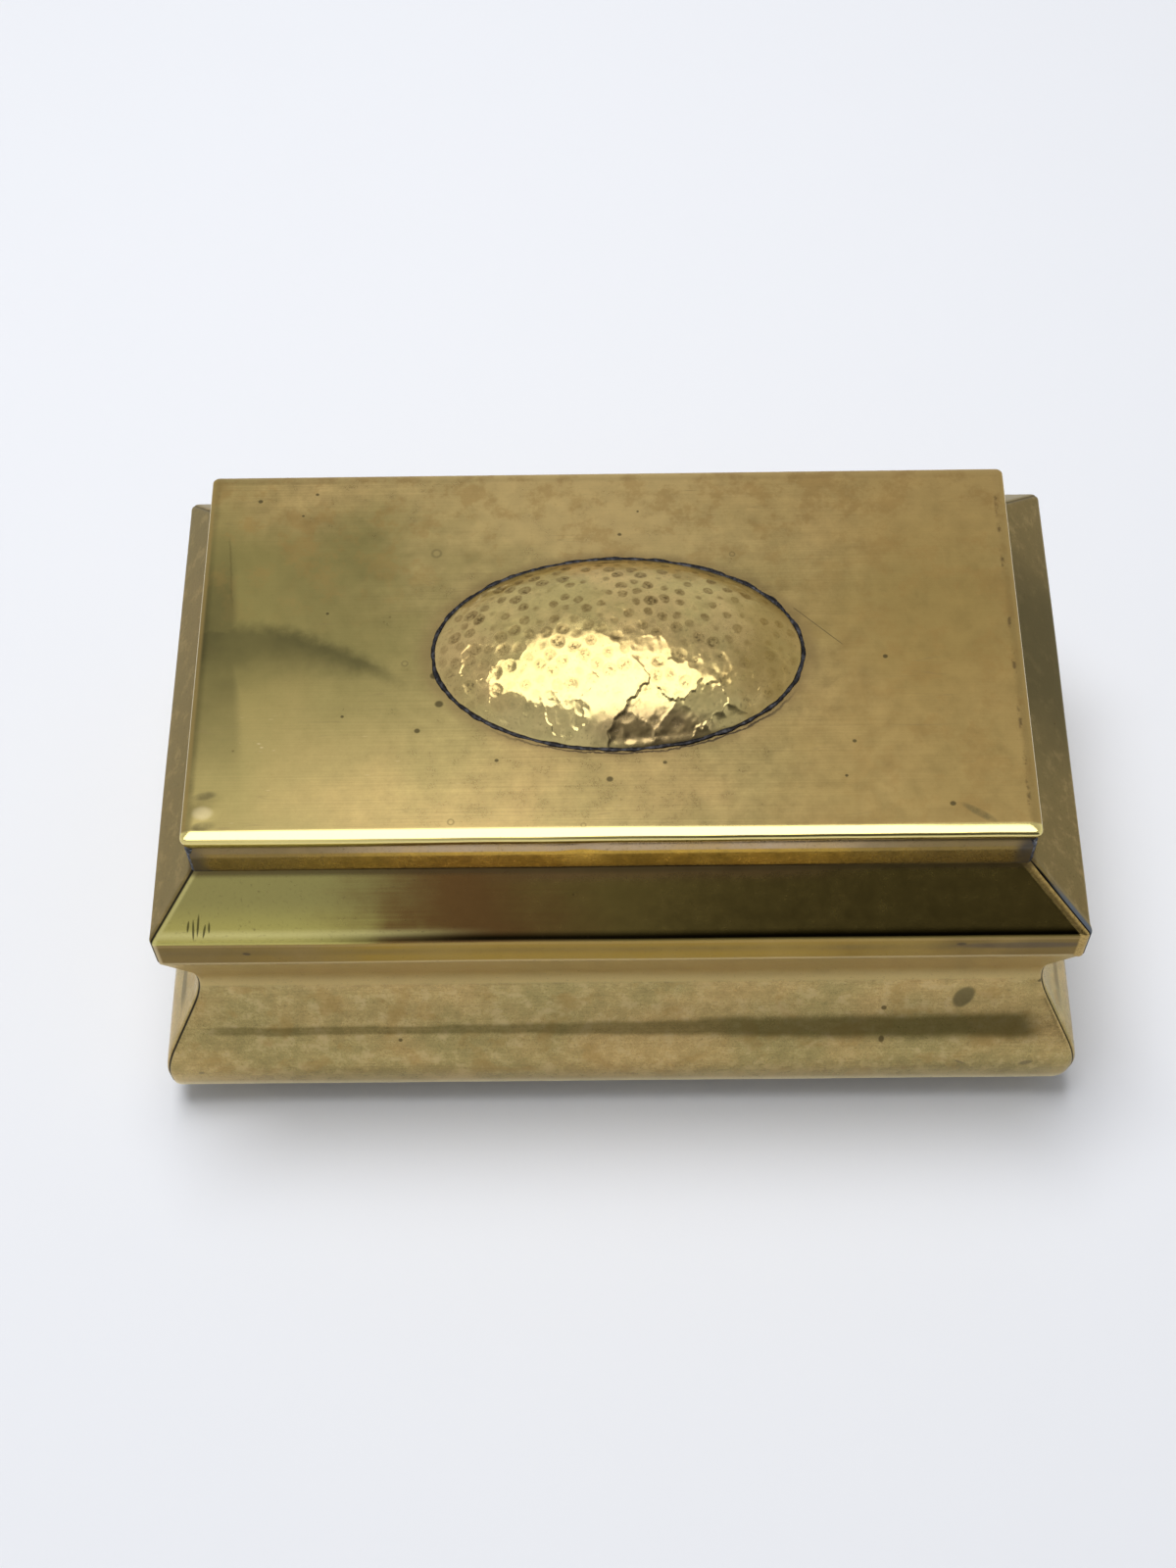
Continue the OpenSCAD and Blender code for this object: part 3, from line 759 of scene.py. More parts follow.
def neckFinish():
    f = Brass("neckBrass", neckLook)
    drift = f.cloud(f.where, 5.0, 3.0, 0.6, 5.0) - 0.5
    # the top edge is worn, and its paler colour also paints the highlight it catches
    wornAndLitEdge = f.z.over(neck["top"] - neckShape["worn"][1], neck["top"] - 1.2)
    f.mark(wornAndLitEdge * (0.8 + drift), (0.54, 0.40, 0.25), 0.05)
    f.mark(f.z.under(shoulderZ + 0.1, shoulderZ + 0.6), (0.04, 0.028, 0.012), 0.1)
    fromEnd = abs(f.x - neckShift) - neck["wide"] / 2 + abs(f.y) - neck["deep"] / 2
    f.mark((fromEnd + drift * 20).over(-30, -10) * 0.8, (0.19, 0.135, 0.045), 0.03)
    smear = (fromEnd + drift * 2.5).over(-3.2, -1.2) * (0.8 + drift)
    f.mark(smear, (0.08, 0.07, 0.06), 0.1)
    return f.finished(0.008)


neckBrass = neckFinish()
for name in sideNames:
    strip, brass = makeNeck(name, neckBrass)
    if name == "back":
        grooved(strip, 0)
    place(strip, "case", "neck_brass", brass, "neck_" + name)
print("neck made")


# Boss: a domed oval, covered with hammer marks
boss = {
    "Length": bossHigh.x - bossLow.x,
    "Width": bossHigh.y - bossLow.y,
    "Rise": bossHigh.z - bossLow.z,
    "Share": 0.8,           # part of its ellipsoid's half width that the cap takes
    "Facet Spacing": 3.9,   # broad blows that shaped it
    "Facet Radius": 3.3,
    "Facet Depth": 0.18,
    "Mark Spacing": 1.7,    # small round punch marks
    "Mark Radius": 0.88,
    "Mark Depth": 0.065,
    "Columns": 300,
    "Rows": 190,
    "Seed": 7,
}
bossPlace = Vector(((bossLow.x + bossHigh.x) / 2, (bossLow.y + bossHigh.y) / 2, bossLow.z))


# Lid: a shallow pan, its edge turned down over a rounded fold
lid = {
    "thick": 0.9,
    "fold": (1.25, 25, 0.6),    # width of its easy part, its slope there in degrees, its radius
    "corner": 0.8,
    "rimGap": 0.6,
    "relief": 0.4,
    "wave": 0.10,
    "edgeWave": 0.07,
    "alongX": 150,
    "alongY": 76,
    "dent": (-48.4, -22.6, 1.9, 0.14),      # place, radius and height of a small bruise
}
lidLook = {
    "olive": (0.42, 0.325, 0.13), "tan": (0.50, 0.355, 0.145), "pit": (0.13, 0.09, 0.04),
    "brush": (40.0, 0.2, 0.2), "rough": 0.30, "mottling": 0.7, "graining": 0.3,
    "brushing": 0.6, "seed": 12.0, "clouds": 30.0, "pits": 0.2, "speckle": 0.12,
}


def roundedOutline(halfW, halfD, corner):
    # points of a rounded rectangle, the same number whatever its size
    corner = min(corner, halfW, halfD)
    points = []
    quarters = ((1, -1, -90), (1, 1, 0), (-1, 1, 90), (-1, -1, 180))
    for number, (sx, sy, start) in enumerate(quarters):
        centre = Vector((sx * (halfW - corner), sy * (halfD - corner)))
        for k in range(7):
            a = math.radians(start + 15 * k)
            points.append(centre + corner * Vector((math.cos(a), math.sin(a))))
        nx, ny, _ = quarters[(number + 1) % 4]
        following = Vector((nx * (halfW - corner), ny * (halfD - corner)))
        nextStart = math.radians(start + 90)
        first = points[-1]
        last = following + corner * Vector((math.cos(nextStart), math.sin(nextStart)))
        count = lid["alongY"] if number % 2 == 0 else lid["alongX"]
        points += [first.lerp(last, k / count) for k in range(1, count)]
    return points


def lidFold(top):
    # inset and height down the fold: easy at first, then tight
    wide, slope, radius = lid["fold"]
    turn = math.radians(slope)
    inset = wide * math.sin(turn) / turn + radius * (1 - math.sin(turn))
    rows = [(inset, top)]
    for k in range(8):
        a = turn * (k + 0.5) / 8
        rows.append((rows[-1][0] - wide / 8 * math.cos(a), rows[-1][1] - wide / 8 * math.sin(a)))
    drop = top - rows[-1][1]
    for k in range(1, 9):
        a = turn + (math.radians(90) - turn) * k / 8
        rows.append((radius * (1 - math.sin(a)), top - drop - radius * (math.cos(turn) - math.cos(a))))
    return rows


def makeLid():
    middle = (lidLow + lidHigh) / 2
    halfW, halfD = (lidHigh.x - lidLow.x) / 2, (lidHigh.y - lidLow.y) / 2
    top, rim = lidHigh.z, neck["top"]
    t = lid["thick"]
    fold = lidFold(top)
    insets = [halfD - k * 1.05 for k in range(0, 25)]
    insets = [d for d in insets if d > 1.7] + [1.7, 1.4]
    rows = [(d, top, 1.0) for d in insets if d > fold[0][0] + 0.1]
    rows += [(inset, z, 1.0) for inset, z in fold]
    # below the fold the rim leans in a little
    rows += [(0.03, top - 1.2, 0.6), (0.12, top - 1.6, 0.3), (0.2, rim + 0.4, 0.0),
             (0.27, rim + 0.12, 0.0), (0.38, rim, 0.0),
             (t, rim, 0.0), (t + 0.08, rim + 0.1, 0.0), (t + 0.08, top - t - 0.3, 0.4),
             (t + 0.4, top - t, 1.0)]
    rows += [(d, top - t, 1.0) for d in reversed([x for x in insets if x > t + 0.7])]
    points, faces = [], []
    size = None
    for inset, z, give in rows:
        loop = roundedOutline(halfW - inset, halfD - inset, max(lid["corner"] - inset * 0.3, 0.25))
        size = len(loop)
        for p in loop:
            x, y = p.x + middle.x, p.y + middle.y
            lift = (p.x + halfW) / (2 * halfW) * lid["rimGap"]
            if p.y > halfD - t - lid["relief"]:
                lift = max(lift, lid["relief"])
            lift *= max(0, min(1, (top - 1.1 - z) / (top - 1.1 - rim))) * (inset < t + 0.2)
            wave = lid["wave"] * give * wobble(x, y, 32, 2.0) * min(1, inset / 3)
            dentX, dentY, dentWide, dentDeep = lid["dent"]
            near = math.hypot(x - dentX, y - dentY) / dentWide
            wave += dentDeep * max(0, 1 - near * near) ** 2 * (give == 1.0)
            bow = lid["edgeWave"] * wobble(x, y * 3, 9, 5.0) * (inset < 1.2)
            y += bow * (abs(p.y) > halfD - 1.3) * (p.y < 0)
            points.append((x, y, z + lift + wave))
    for row in range(len(rows) - 1):
        for k in range(size):
            a, b = row * size + k, row * size + (k + 1) % size
            faces.append((a, a + size, b + size, b))
    piece = meshPiece("lidPlate", points, faces)
    tidyMesh(piece, 40, 0.004)
    grooved(piece, 1)
    return piece


lidMarks = {
    # place and radius
    "spots": ((-21.9, -4.0, 0.5), (-21.2, -8.0, 0.5), (-23.7, -11.7, 0.35), (-44.5, 22.3, 0.3),
              (-37.4, 23.3, 0.22), (-39.0, 20.0, 0.18), (-35.2, 5.2, 0.2), (-32.7, -9.6, 0.2),
              (-14.2, -15.9, 0.25), (32.4, -1.9, 0.3), (38.9, -22.3, 0.35), (-0.9, -18.6, 0.4),
              (0.6, 16.6, 0.25), (2.9, 20.1, 0.16), (5.6, -16.4, 0.25), (26.8, -18.4, 0.2),
              (28.0, -13.7, 0.25)),
    "rings": ((-22.1, 14.0, 0.7), (-25.5, -2.2, 0.45), (-19.4, -24.1, 0.45), (-4.0, -24.7, 0.35),
              (14.5, 13.4, 0.4)),
    # place, half widths, turn
    "smears": ((41.9, -23.6, 2.1, 0.45, -33), (-48.2, -24.4, 1.3, 0.6, 10),
               (-48.3, -20.3, 1.3, 0.5, 10)),
    "fold": ((-48.0, 16.9), (-47.1, 7.3)),      # the line beside the dark left edge
}


def lidBrass():
    f = Brass("lidBrass", lidLook)
    x, y = f.x, f.y
    unmarked = f.colour
    drift = f.cloud(f.where, 13.0, 4.0, 0.6, 71.0) - 0.5
    fine = f.cloud(f.where, 2.2, 4.0, 0.65, 73.0) - 0.5
    # the left third is darker and greener, the middle paler, the right browner: tarnish tones and partly a
    # painted reflection
    green = (x + drift * 30).under(-34, -6) * (y + drift * 16).over(-22, 0)
    f.mark(green * 0.85 * (y + drift * 10).under(12, 26), (0.215, 0.185, 0.064), 0.04)
    f.mark((x + drift * 14).under(-48, -34) * 0.4, (0.25, 0.215, 0.07))
    f.mark((x + drift * 24).under(-40, -18) * (y + drift * 12).under(-14, -4) * 0.35, (0.25, 0.215, 0.08))
    pale = (abs(x + drift * 26 + 4)).under(8, 34) * (y + drift * 10).over(8, 18)
    f.mark(pale * 0.75, (0.60, 0.44, 0.185), 0.02)
    brown = (x + drift * 30).over(4, 40)
    f.mark(brown * 0.75 * (y + drift * 10).under(6, 16), (0.385, 0.262, 0.09))
    f.mark(brown * 0.75 * (y + drift * 10).over(6, 16), (0.475, 0.32, 0.118))
    f.mark((abs(x + drift * 14 - 38).under(4, 16)) * (abs(y - 6 + drift * 10)).under(6, 18) * 0.4,
           (0.29, 0.20, 0.06))
    # a dark streak from the left edge, sharp above and soft below
    edge = 3.9 - (x + 47) * (x + 47) * 0.0188 + drift * 1.5
    below = edge - y
    thick = (-23 - x) * 0.32
    below = below + fine * 2.5
    streak = below.over(-1.2, 1.4) * (below / thick.most(0.3)).under(0.2, 1.7)
    streak = streak * x.under(-31, -23.5)
    (x1, y1), (x2, y2) = lidMarks["fold"]
    fromFold = x - x1 - (y - y1) * ((x2 - x1) / (y2 - y1))
    strip = fromFold.under(-0.3, 1.2) * (y + drift * 8).over(-24, 4) * y.under(6, 19)
    f.mark(streak.most(strip * 0.8) * (0.85 + drift), (0.085, 0.075, 0.03), 0.02)
    f.mark(abs(fromFold + fine * 0.8).under(0.04, 0.22) * y.over(5, 9) * y.under(15, 17.5) * 0.4,
           (0.10, 0.08, 0.03), 0.1)
    # brown bloom behind and at the sides
    bloom = f.cloud(f.where, 4.5, 5.0, 0.7, 79.0).over(0.47, 0.62)
    stained = ((y + drift * 12).over(-2, 20) * 0.45).most(x.over(10, 40) * 0.35)
    f.mark(bloom * stained, (0.33, 0.20, 0.065), 0.04)
    # darker round the boss
    byX, byY = (x - bossPlace.x) / (boss["Length"] / 2), (y - bossPlace.y) / (boss["Width"] / 2)
    away = (byX * byX + byY * byY).root()
    f.mark((away + fine * 0.08).under(1.01, 1.13) * 0.6, (0.22, 0.15, 0.065), 0.05)
    # the scraper's lines where the boss's solder was cleaned off
    scraped = (away * 110 + fine * 9).sine().over(0.3, 0.9) * away.over(1.01, 1.02)
    lower = f.spot(x, y, (6, -13), (19, 8), 0.6)
    scraped = scraped * (away + drift * 0.05).under(1.03, 1.085) * lower
    f.mark(scraped * 0.85, (0.04, 0.03, 0.025), 0.1)
    long = abs((y - 2.6) + (x - 24.5) * 0.95).under(0.05, 0.12)
    f.mark(long * f.spot(x, y, (24.5, 2.6), (3.6, 4.2), 0.2) * 0.7, (0.10, 0.075, 0.04))
    # worn flecks, most of them in front, and a few long hair lines
    fleck = f.specks(f.join(x * 0.2, y, f.z), 0.75, 0.10, 5.0, 0.3)
    region = (y + drift * 20).under(-16, 6) * (x + drift * 30).under(-10, 30)
    f.mark(fleck * region * 0.4, (0.62, 0.49, 0.26), -0.05)
    scuff = f.specks(f.join(x * 0.4, y, f.z), 0.5, 0.16, 9.0, 0.6)
    f.mark(scuff * f.spot(x, y, (-43.6, -13.5), (3.2, 0.5), 0.7, -10), (0.85, 0.68, 0.42), -0.05)
    hair = f.cloud(f.where, (34.0, 1.3, 1.3), 1.0, 0.5, 77.0).line(0.5, 0.012)
    f.mark(hair * drift.over(0.0, 0.1) * 0.3, (0.23, 0.175, 0.08), 0.1)
    for at in lidMarks["spots"]:
        f.mark(f.spot(x, y, at[:2], (at[2], at[2] * 0.9), 0.6) * 0.85, (0.07, 0.055, 0.025), 0.2)
    for at in lidMarks["rings"]:
        ring = f.spot(x, y, at[:2], (at[2],) * 2, 0.3) - f.spot(x, y, at[:2], (at[2] * 0.55,) * 2, 0.5)
        f.mark(ring * 0.5, (0.16, 0.125, 0.055), 0.1)
    for at in lidMarks["smears"]:
        f.mark(f.spot(x, y, at[:2], at[2:4], 0.8, at[4]) * (0.6 + fine * 2), (0.14, 0.115, 0.05), 0.1)
    # a painted highlight on the small bruise
    f.mark(f.spot(x, y, lid["dent"][:2], (1.1, 0.8), 0.9) * 0.5, (0.62, 0.52, 0.30))
    # tarnish just inside the side edges
    inside = lidHigh.x - x
    f.mark(inside.line(1.35, 0.4) * fine.over(0.0, 0.12) * 0.8, (0.12, 0.08, 0.035), 0.1)
    # the front fold is polished by handling; along the side edges a brown band is a painted reflection and
    # the white line at the very edge a painted highlight
    edge = inside.sum("MINIMUM", inside, x - lidLow.x)
    f.mark(edge.under(0.45, 0.85) * 0.6, (0.42, 0.29, 0.10), -0.02)
    f.mark(edge.under(0.06, 0.16) * 0.8, (0.90, 0.80, 0.58), -0.15)
    f.mark((y - lidLow.y).under(1.15, 1.5), (0.82, 0.69, 0.27), -0.22)
    # the rim below the fold, darker as a painted dark reflection, and the underside, which is only dulled
    f.mark(f.z.under(lidHigh.z - 1.6, lidHigh.z - 0.9) * 0.6, (0.22, 0.18, 0.06))
    edge = edge.sum("MINIMUM", edge, y - lidLow.y)
    within = edge.sum("MINIMUM", edge, lidHigh.y - y).over(0.6, 0.8)
    within = within * f.z.under(lidHigh.z - 0.5, lidHigh.z - 0.4)
    f.mark(within, unmarked.scaled(0.8), 0.06)
    return f.finished(0.004)


place(makeLid(), "lid", "lid_brass", lidBrass(), "lid_plate")
print("lid made")


# Geometry nodes
class Tree:
    # a node group for one piece, with its sizes as named inputs
    def __init__(self, name, **sizes):
        self.group = bpy.data.node_groups.new(name, "GeometryNodeTree")
        self.group.interface.new_socket("Geometry", in_out="OUTPUT",
                                        socket_type="NodeSocketGeometry")
        kinds = {float: "NodeSocketFloat", int: "NodeSocketInt", str: "NodeSocketMaterial"}
        for label, value in sizes.items():
            made = self.group.interface.new_socket(label, in_out="INPUT",
                                                   socket_type=kinds[type(value)])
            if not isinstance(value, str):
                made.default_value = value
        self.source = self.group.nodes.new("NodeGroupInput")
        self.wire = Wire(self.group)

    def size(self, label):
        return Wire(self.group, self.source.outputs[label])

    def node(self, kind, settings=None, values=None, out=0):
        return self.wire.node(kind, settings, values, out)

    def end(self, geometry, material):
        real = self.node("GeometryNodeRealizeInstances", None, {0: geometry})
        painted = self.node("GeometryNodeSetMaterial", None,
                            {"Geometry": real, "Material": material})
        sink = self.group.nodes.new("NodeGroupOutput")
        self.group.links.new(painted.socket, sink.inputs[0])
        return self.group


def grown(name, group, **values):
    # the plain mesh that a node group makes with these inputs
    mesh = bpy.data.meshes.new(name)
    piece = bpy.data.objects.new(name, mesh)
    bpy.context.scene.collection.objects.link(piece)
    modifier = piece.modifiers.new("maker", "NODES")
    modifier.node_group = group
    for item in group.interface.items_tree:
        if item.in_out == "INPUT" and item.name in values:
            modifier[item.identifier] = values[item.name]
    applied(piece)
    return piece


def bowls(t, cap, spacing, radius, seed):
    # how deep each point lies in the nearest of a set of scattered round bowls, 0 to 1
    centres = t.node("GeometryNodeDistributePointsOnFaces", {"distribute_method": "POISSON"}, {
        "Mesh": cap, "Distance Min": spacing, "Density Max": 3.0, "Seed": seed})
    real = t.node("GeometryNodeInputPosition")
    drift = t.node("ShaderNodeTexNoise", None, {"Vector": real, "Scale": 0.55, "Detail": 2.0}, out=1)
    drift = t.node("ShaderNodeVectorMath", {"operation": "SCALE"}, {0: drift, "Scale": radius * 0.8})
    here = t.node("ShaderNodeVectorMath", {"operation": "ADD"}, {0: real, 1: drift})
    nearest = t.node("GeometryNodeSampleNearest", {"domain": "POINT"},
                     {"Geometry": centres, "Sample Position": here})
    middle = t.node("GeometryNodeSampleIndex", {"data_type": "FLOAT_VECTOR"}, {
        "Geometry": centres, "Value": real, "Index": nearest})
    away = t.node("ShaderNodeVectorMath", {"operation": "DISTANCE"}, {0: here, 1: middle}, out=1)
    strike = t.node("FunctionNodeRandomValue", {"data_type": "FLOAT"}, {
        2: 0.1, 3: 1.0, "ID": nearest, "Seed": 4}, out=1)
    near = away / (radius * (strike * 0.45 + 0.68))
    return (1 - near * near).most(0.0) * strike


def bossTree():
    t = Tree("hammeredDome", **{k: (v if isinstance(v, int) else float(v)) for k, v in boss.items()},
             Finish="material")
    grid = t.node("GeometryNodeMeshGrid", None, {
        "Size X": 2.0, "Size Y": 2.0, "Vertices X": t.size("Columns"),
        "Vertices Y": t.size("Rows")})
    flat = t.node("GeometryNodeInputPosition")
    parts = t.group.nodes.new("ShaderNodeSeparateXYZ")
    t.group.links.new(flat.socket, parts.inputs[0])
    u, v = Wire(t.group, parts.outputs[0]), Wire(t.group, parts.outputs[1])
    # the square grid drawn into a round disc, then stretched to the oval
    discX = u * (1 - v * v * 0.5).root()
    discY = v * (1 - u * u * 0.5).root()
    spread = discX * discX + discY * discY
    spread = spread.sum("MINIMUM", spread, 1.0)
    share = t.size("Share")
    rim = (1 - share * share).root()
    high = ((1 - share * share * spread).root() - rim) / (1 - rim) * t.size("Rise")
    domed = t.node("ShaderNodeCombineXYZ", None, {
        0: discX * t.size("Length") * 0.5, 1: discY * t.size("Width") * 0.5, 2: high})
    faded = t.node("GeometryNodeStoreNamedAttribute", {"data_type": "FLOAT", "domain": "POINT"},
                   {"Geometry": grid, "Name": "inside", "Value": 1 - spread})
    cap = t.node("GeometryNodeSetPosition", None, {"Geometry": faded, "Position": domed})
    facets = bowls(t, cap, t.size("Facet Spacing"), t.size("Facet Radius"), t.size("Seed"))
    marks = bowls(t, cap, t.size("Mark Spacing"), t.size("Mark Radius"), t.size("Seed") + 5)
    inside = t.node("GeometryNodeInputNamedAttribute", {"data_type": "FLOAT"}, {"Name": "inside"})
    fade = inside.over(0.0, 0.14)
    # the blows go deeper towards the rim
    sink = (facets * t.size("Facet Depth") * (1.6 - inside * 0.8) + marks * t.size("Mark Depth")) * fade
    stored = t.node("GeometryNodeStoreNamedAttribute", {"data_type": "FLOAT", "domain": "POINT"},
                    {"Geometry": cap, "Name": "mark", "Value": marks * fade})
    normal = t.node("GeometryNodeInputNormal")
    offset = t.node("ShaderNodeVectorMath", {"operation": "SCALE"}, {0: normal, "Scale": 0 - sink})
    hammered = t.node("GeometryNodeSetPosition", None, {"Geometry": stored, "Offset": offset})
    size = t.node("GeometryNodeTransform", None, {
        "Geometry": hammered, "Translation": bossPlace * mm, "Scale": (mm, mm, mm)})
    return t.end(size, t.size("Finish"))


bossLook = {
    "olive": (0.57, 0.455, 0.18), "tan": (0.67, 0.49, 0.205), "pit": (0.12, 0.09, 0.04),
    "brush": (1.2, 1.2, 1.2), "rough": 0.16, "mottling": 0.7, "graining": 0.3,
    "brushing": 0.2, "seed": 21.0, "clouds": 9.0, "pits": 0.15,
}


def bossFinish():
    f = Brass("bossBrass", bossLook)
    mark = f.attribute("mark")
    drift = f.cloud(f.where, 4.0, 3.0, 0.6, 91.0) - 0.5
    behind = (f.y + drift * 6).over(-6.5, 2.5)
    f.rough = f.rough + behind * 0.16
    speck = f.cloud(f.where, 0.55, 2.0, 0.7, 93.0)
    struck = mark.over(0.0, 0.22) * (0.8 + (speck - 0.5) * 2).clamp()
    f.mark(struck * (behind * 0.55 + 0.3), (0.25, 0.17, 0.06), 0.06)
    f.mark(mark.over(0.3, 0.6) * speck.over(0.5, 0.6) * 0.6, (0.06, 0.04, 0.015), 0.1)
    # the lower front of the boss made paler, a painted reflection
    paintedLowerSheen = (f.x * f.x * 0.0055 + f.y + drift * 5).under(-10, -6.5)
    f.mark(paintedLowerSheen * 0.6, (0.62, 0.52, 0.23), -0.02)
    # a brown patch below the highlight, a painted dark reflection in a facet
    f.mark(f.spot(f.x, f.y, (4.0, -12.4), (7, 2.0), 0.7) * 0.5, (0.34, 0.20, 0.11))
    f.mark((f.x - bossPlace.x + drift * 10).over(11, 19) * 0.65, (0.34, 0.225, 0.06), 0.04)
    f.mark(drift.over(0.04, 0.2) * behind * 0.5, (0.40, 0.31, 0.115))
    f.mark((f.x - bossPlace.x + drift * 10).under(-21, -15) * 0.4, (0.50, 0.35, 0.15), 0.02)
    return f.finished(0.005)


def makeBoss():
    material = bossFinish()
    piece = grown("hammeredBoss", bossTree(), Finish=material)
    work = bmesh.new()
    work.from_mesh(piece.data)
    bmesh.ops.holes_fill(work, edges=[e for e in work.edges if e.is_boundary])
    work.to_mesh(piece.data)
    work.free()
    tidyMesh(piece, 60)
    return place(piece, "lid", "boss_brass", material, "hammered_boss")


makeBoss()
print("boss made")


# Solder
def solderFinish(name, dark, pale):
    f = Finish(name)
    lumps = f.cloud(f.join(f.x, f.y, f.z), 0.7, 4.0, 0.6, 3.0)
    colour = lumps.over(0.42, 0.72).tint(dark, pale)
    return f.set(Base_Color=colour, Roughness=0.35 + lumps * 0.3, Metallic=1.0,
                 Normal=f.bump(lumps, 0.05))


solder = solderFinish("ringSolder", (0.02, 0.019, 0.02), (0.085, 0.085, 0.095))
solderRing = {
    "Length": boss["Length"] + 0.08,
    "Width": boss["Width"] + 0.08,
    "Thickness": 0.27,
    "Wander": 0.24,
    "Steps": 420,
}


def solderRingTree():
    t = Tree("solderRing", **{k: (v if isinstance(v, int) else float(v)) for k, v in solderRing.items()},
             Finish="material")
    circle = t.node("GeometryNodeCurvePrimitiveCircle", {"mode": "RADIUS"},
                    {"Resolution": t.size("Steps"), "Radius": 0.5})
    stretch = t.node("ShaderNodeCombineXYZ", None,
                     {0: t.size("Length"), 1: t.size("Width"), 2: 1.0})
    oval = t.node("GeometryNodeTransform", None, {"Geometry": circle, "Scale": stretch})
    here = t.node("GeometryNodeInputPosition")
    drift = t.node("ShaderNodeTexNoise", None,
                   {"Vector": here, "Scale": 0.5, "Detail": 3.0}, out=1)
    centred = t.node("ShaderNodeVectorMath", {"operation": "SUBTRACT"},
                     {0: drift, 1: (0.5, 0.5, 0.5)})
    moved = t.node("ShaderNodeVectorMath", {"operation": "SCALE"},
                   {0: centred, "Scale": t.size("Wander") * 2})
    flat = t.node("ShaderNodeVectorMath", {"operation": "MULTIPLY"}, {0: moved, 1: (1, 1, 0)})
    wandering = t.node("GeometryNodeSetPosition", None, {"Geometry": oval, "Offset": flat})
    lumps = t.node("ShaderNodeTexNoise", None, {"Vector": here, "Scale": 0.45, "Detail": 4.0})
    radius = t.size("Thickness") * ((lumps - 0.5) * 2.6 + 1.0).most(0.3)
    section = t.node("GeometryNodeCurvePrimitiveCircle", {"mode": "RADIUS"},
                     {"Resolution": 10, "Radius": 1.0})
    bead = t.node("GeometryNodeCurveToMesh", None, {
        "Curve": wandering, "Profile Curve": section, "Scale": radius})
    lying = t.node("GeometryNodeTransform", None, {"Geometry": bead, "Scale": (1, 1, 0.6)})
    at = bossPlace + Vector((0, 0, 0.06))
    size = t.node("GeometryNodeTransform", None, {
        "Geometry": lying, "Translation": at * mm, "Scale": (mm, mm, mm)})
    return t.end(size, t.size("Finish"))


ring = grown("bossSolder", solderRingTree(), Finish=solder)
tidyMesh(ring, 80)
place(ring, "lid", "solder", solder, "boss_solder")

cornerBeads = {
    "Half Width": neck["wide"] / 2 - neckShape["bead"],
    "Half Depth": neck["deep"] / 2 - neckShape["bead"],
    "Height": neck["top"] - shoulderZ - 0.35,
    "Thickness": 0.42,
}


def cornerBeadTree():
    t = Tree("cornerBeads", **{k: float(v) for k, v in cornerBeads.items()}, Finish="material")
    line = t.node("GeometryNodeCurvePrimitiveLine", None, {
        "Start": (0, 0, 0),
        "End": t.node("ShaderNodeCombineXYZ", None, {0: 0.0, 1: 0.0, 2: t.size("Height")})})
    fine = t.node("GeometryNodeResampleCurve", None, {"Curve": line, "Count": 26})
    plan = t.node("GeometryNodeMeshGrid", None, {
        "Size X": t.size("Half Width") * 2, "Size Y": t.size("Half Depth") * 2,
        "Vertices X": 2, "Vertices Y": 2})
    corners = t.node("GeometryNodeMeshToPoints", None, {"Mesh": plan})
    four = t.node("GeometryNodeInstanceOnPoints", None, {"Points": corners, "Instance": fine})
    real = t.node("GeometryNodeRealizeInstances", None, {0: four})
    here = t.node("GeometryNodeInputPosition")
    lumps = t.node("ShaderNodeTexNoise", None, {"Vector": here, "Scale": 0.9, "Detail": 2.0})
    radius = t.size("Thickness") * (lumps * 0.7 + 0.62)
    section = t.node("GeometryNodeCurvePrimitiveCircle", {"mode": "RADIUS"},
                     {"Resolution": 12, "Radius": 1.0})
    bead = t.node("GeometryNodeCurveToMesh", None, {
        "Curve": real, "Profile Curve": section, "Scale": radius, "Fill Caps": True})
    size = t.node("GeometryNodeTransform", None, {
        "Geometry": bead, "Translation": Vector((neckShift, 0, shoulderZ)) * mm,
        "Scale": (mm, mm, mm)})
    return t.end(size, t.size("Finish"))


greySolder = solderFinish("cornerSolder", (0.06, 0.065, 0.08), (0.30, 0.32, 0.37))
beads = grown("cornerSolder", cornerBeadTree(), Finish=greySolder)
tidyMesh(beads, 60)
place(beads, "case", "solder", greySolder, "corner_solder")
print("solder made")


# Hinge: knuckles in a row on one wire
hingeLook = {
    "olive": (0.42, 0.33, 0.14), "tan": (0.52, 0.38, 0.17), "pit": (0.09, 0.06, 0.03),
    "brush": (0.25, 6.0, 6.0), "rough": 0.28, "seed": 31.0,
}


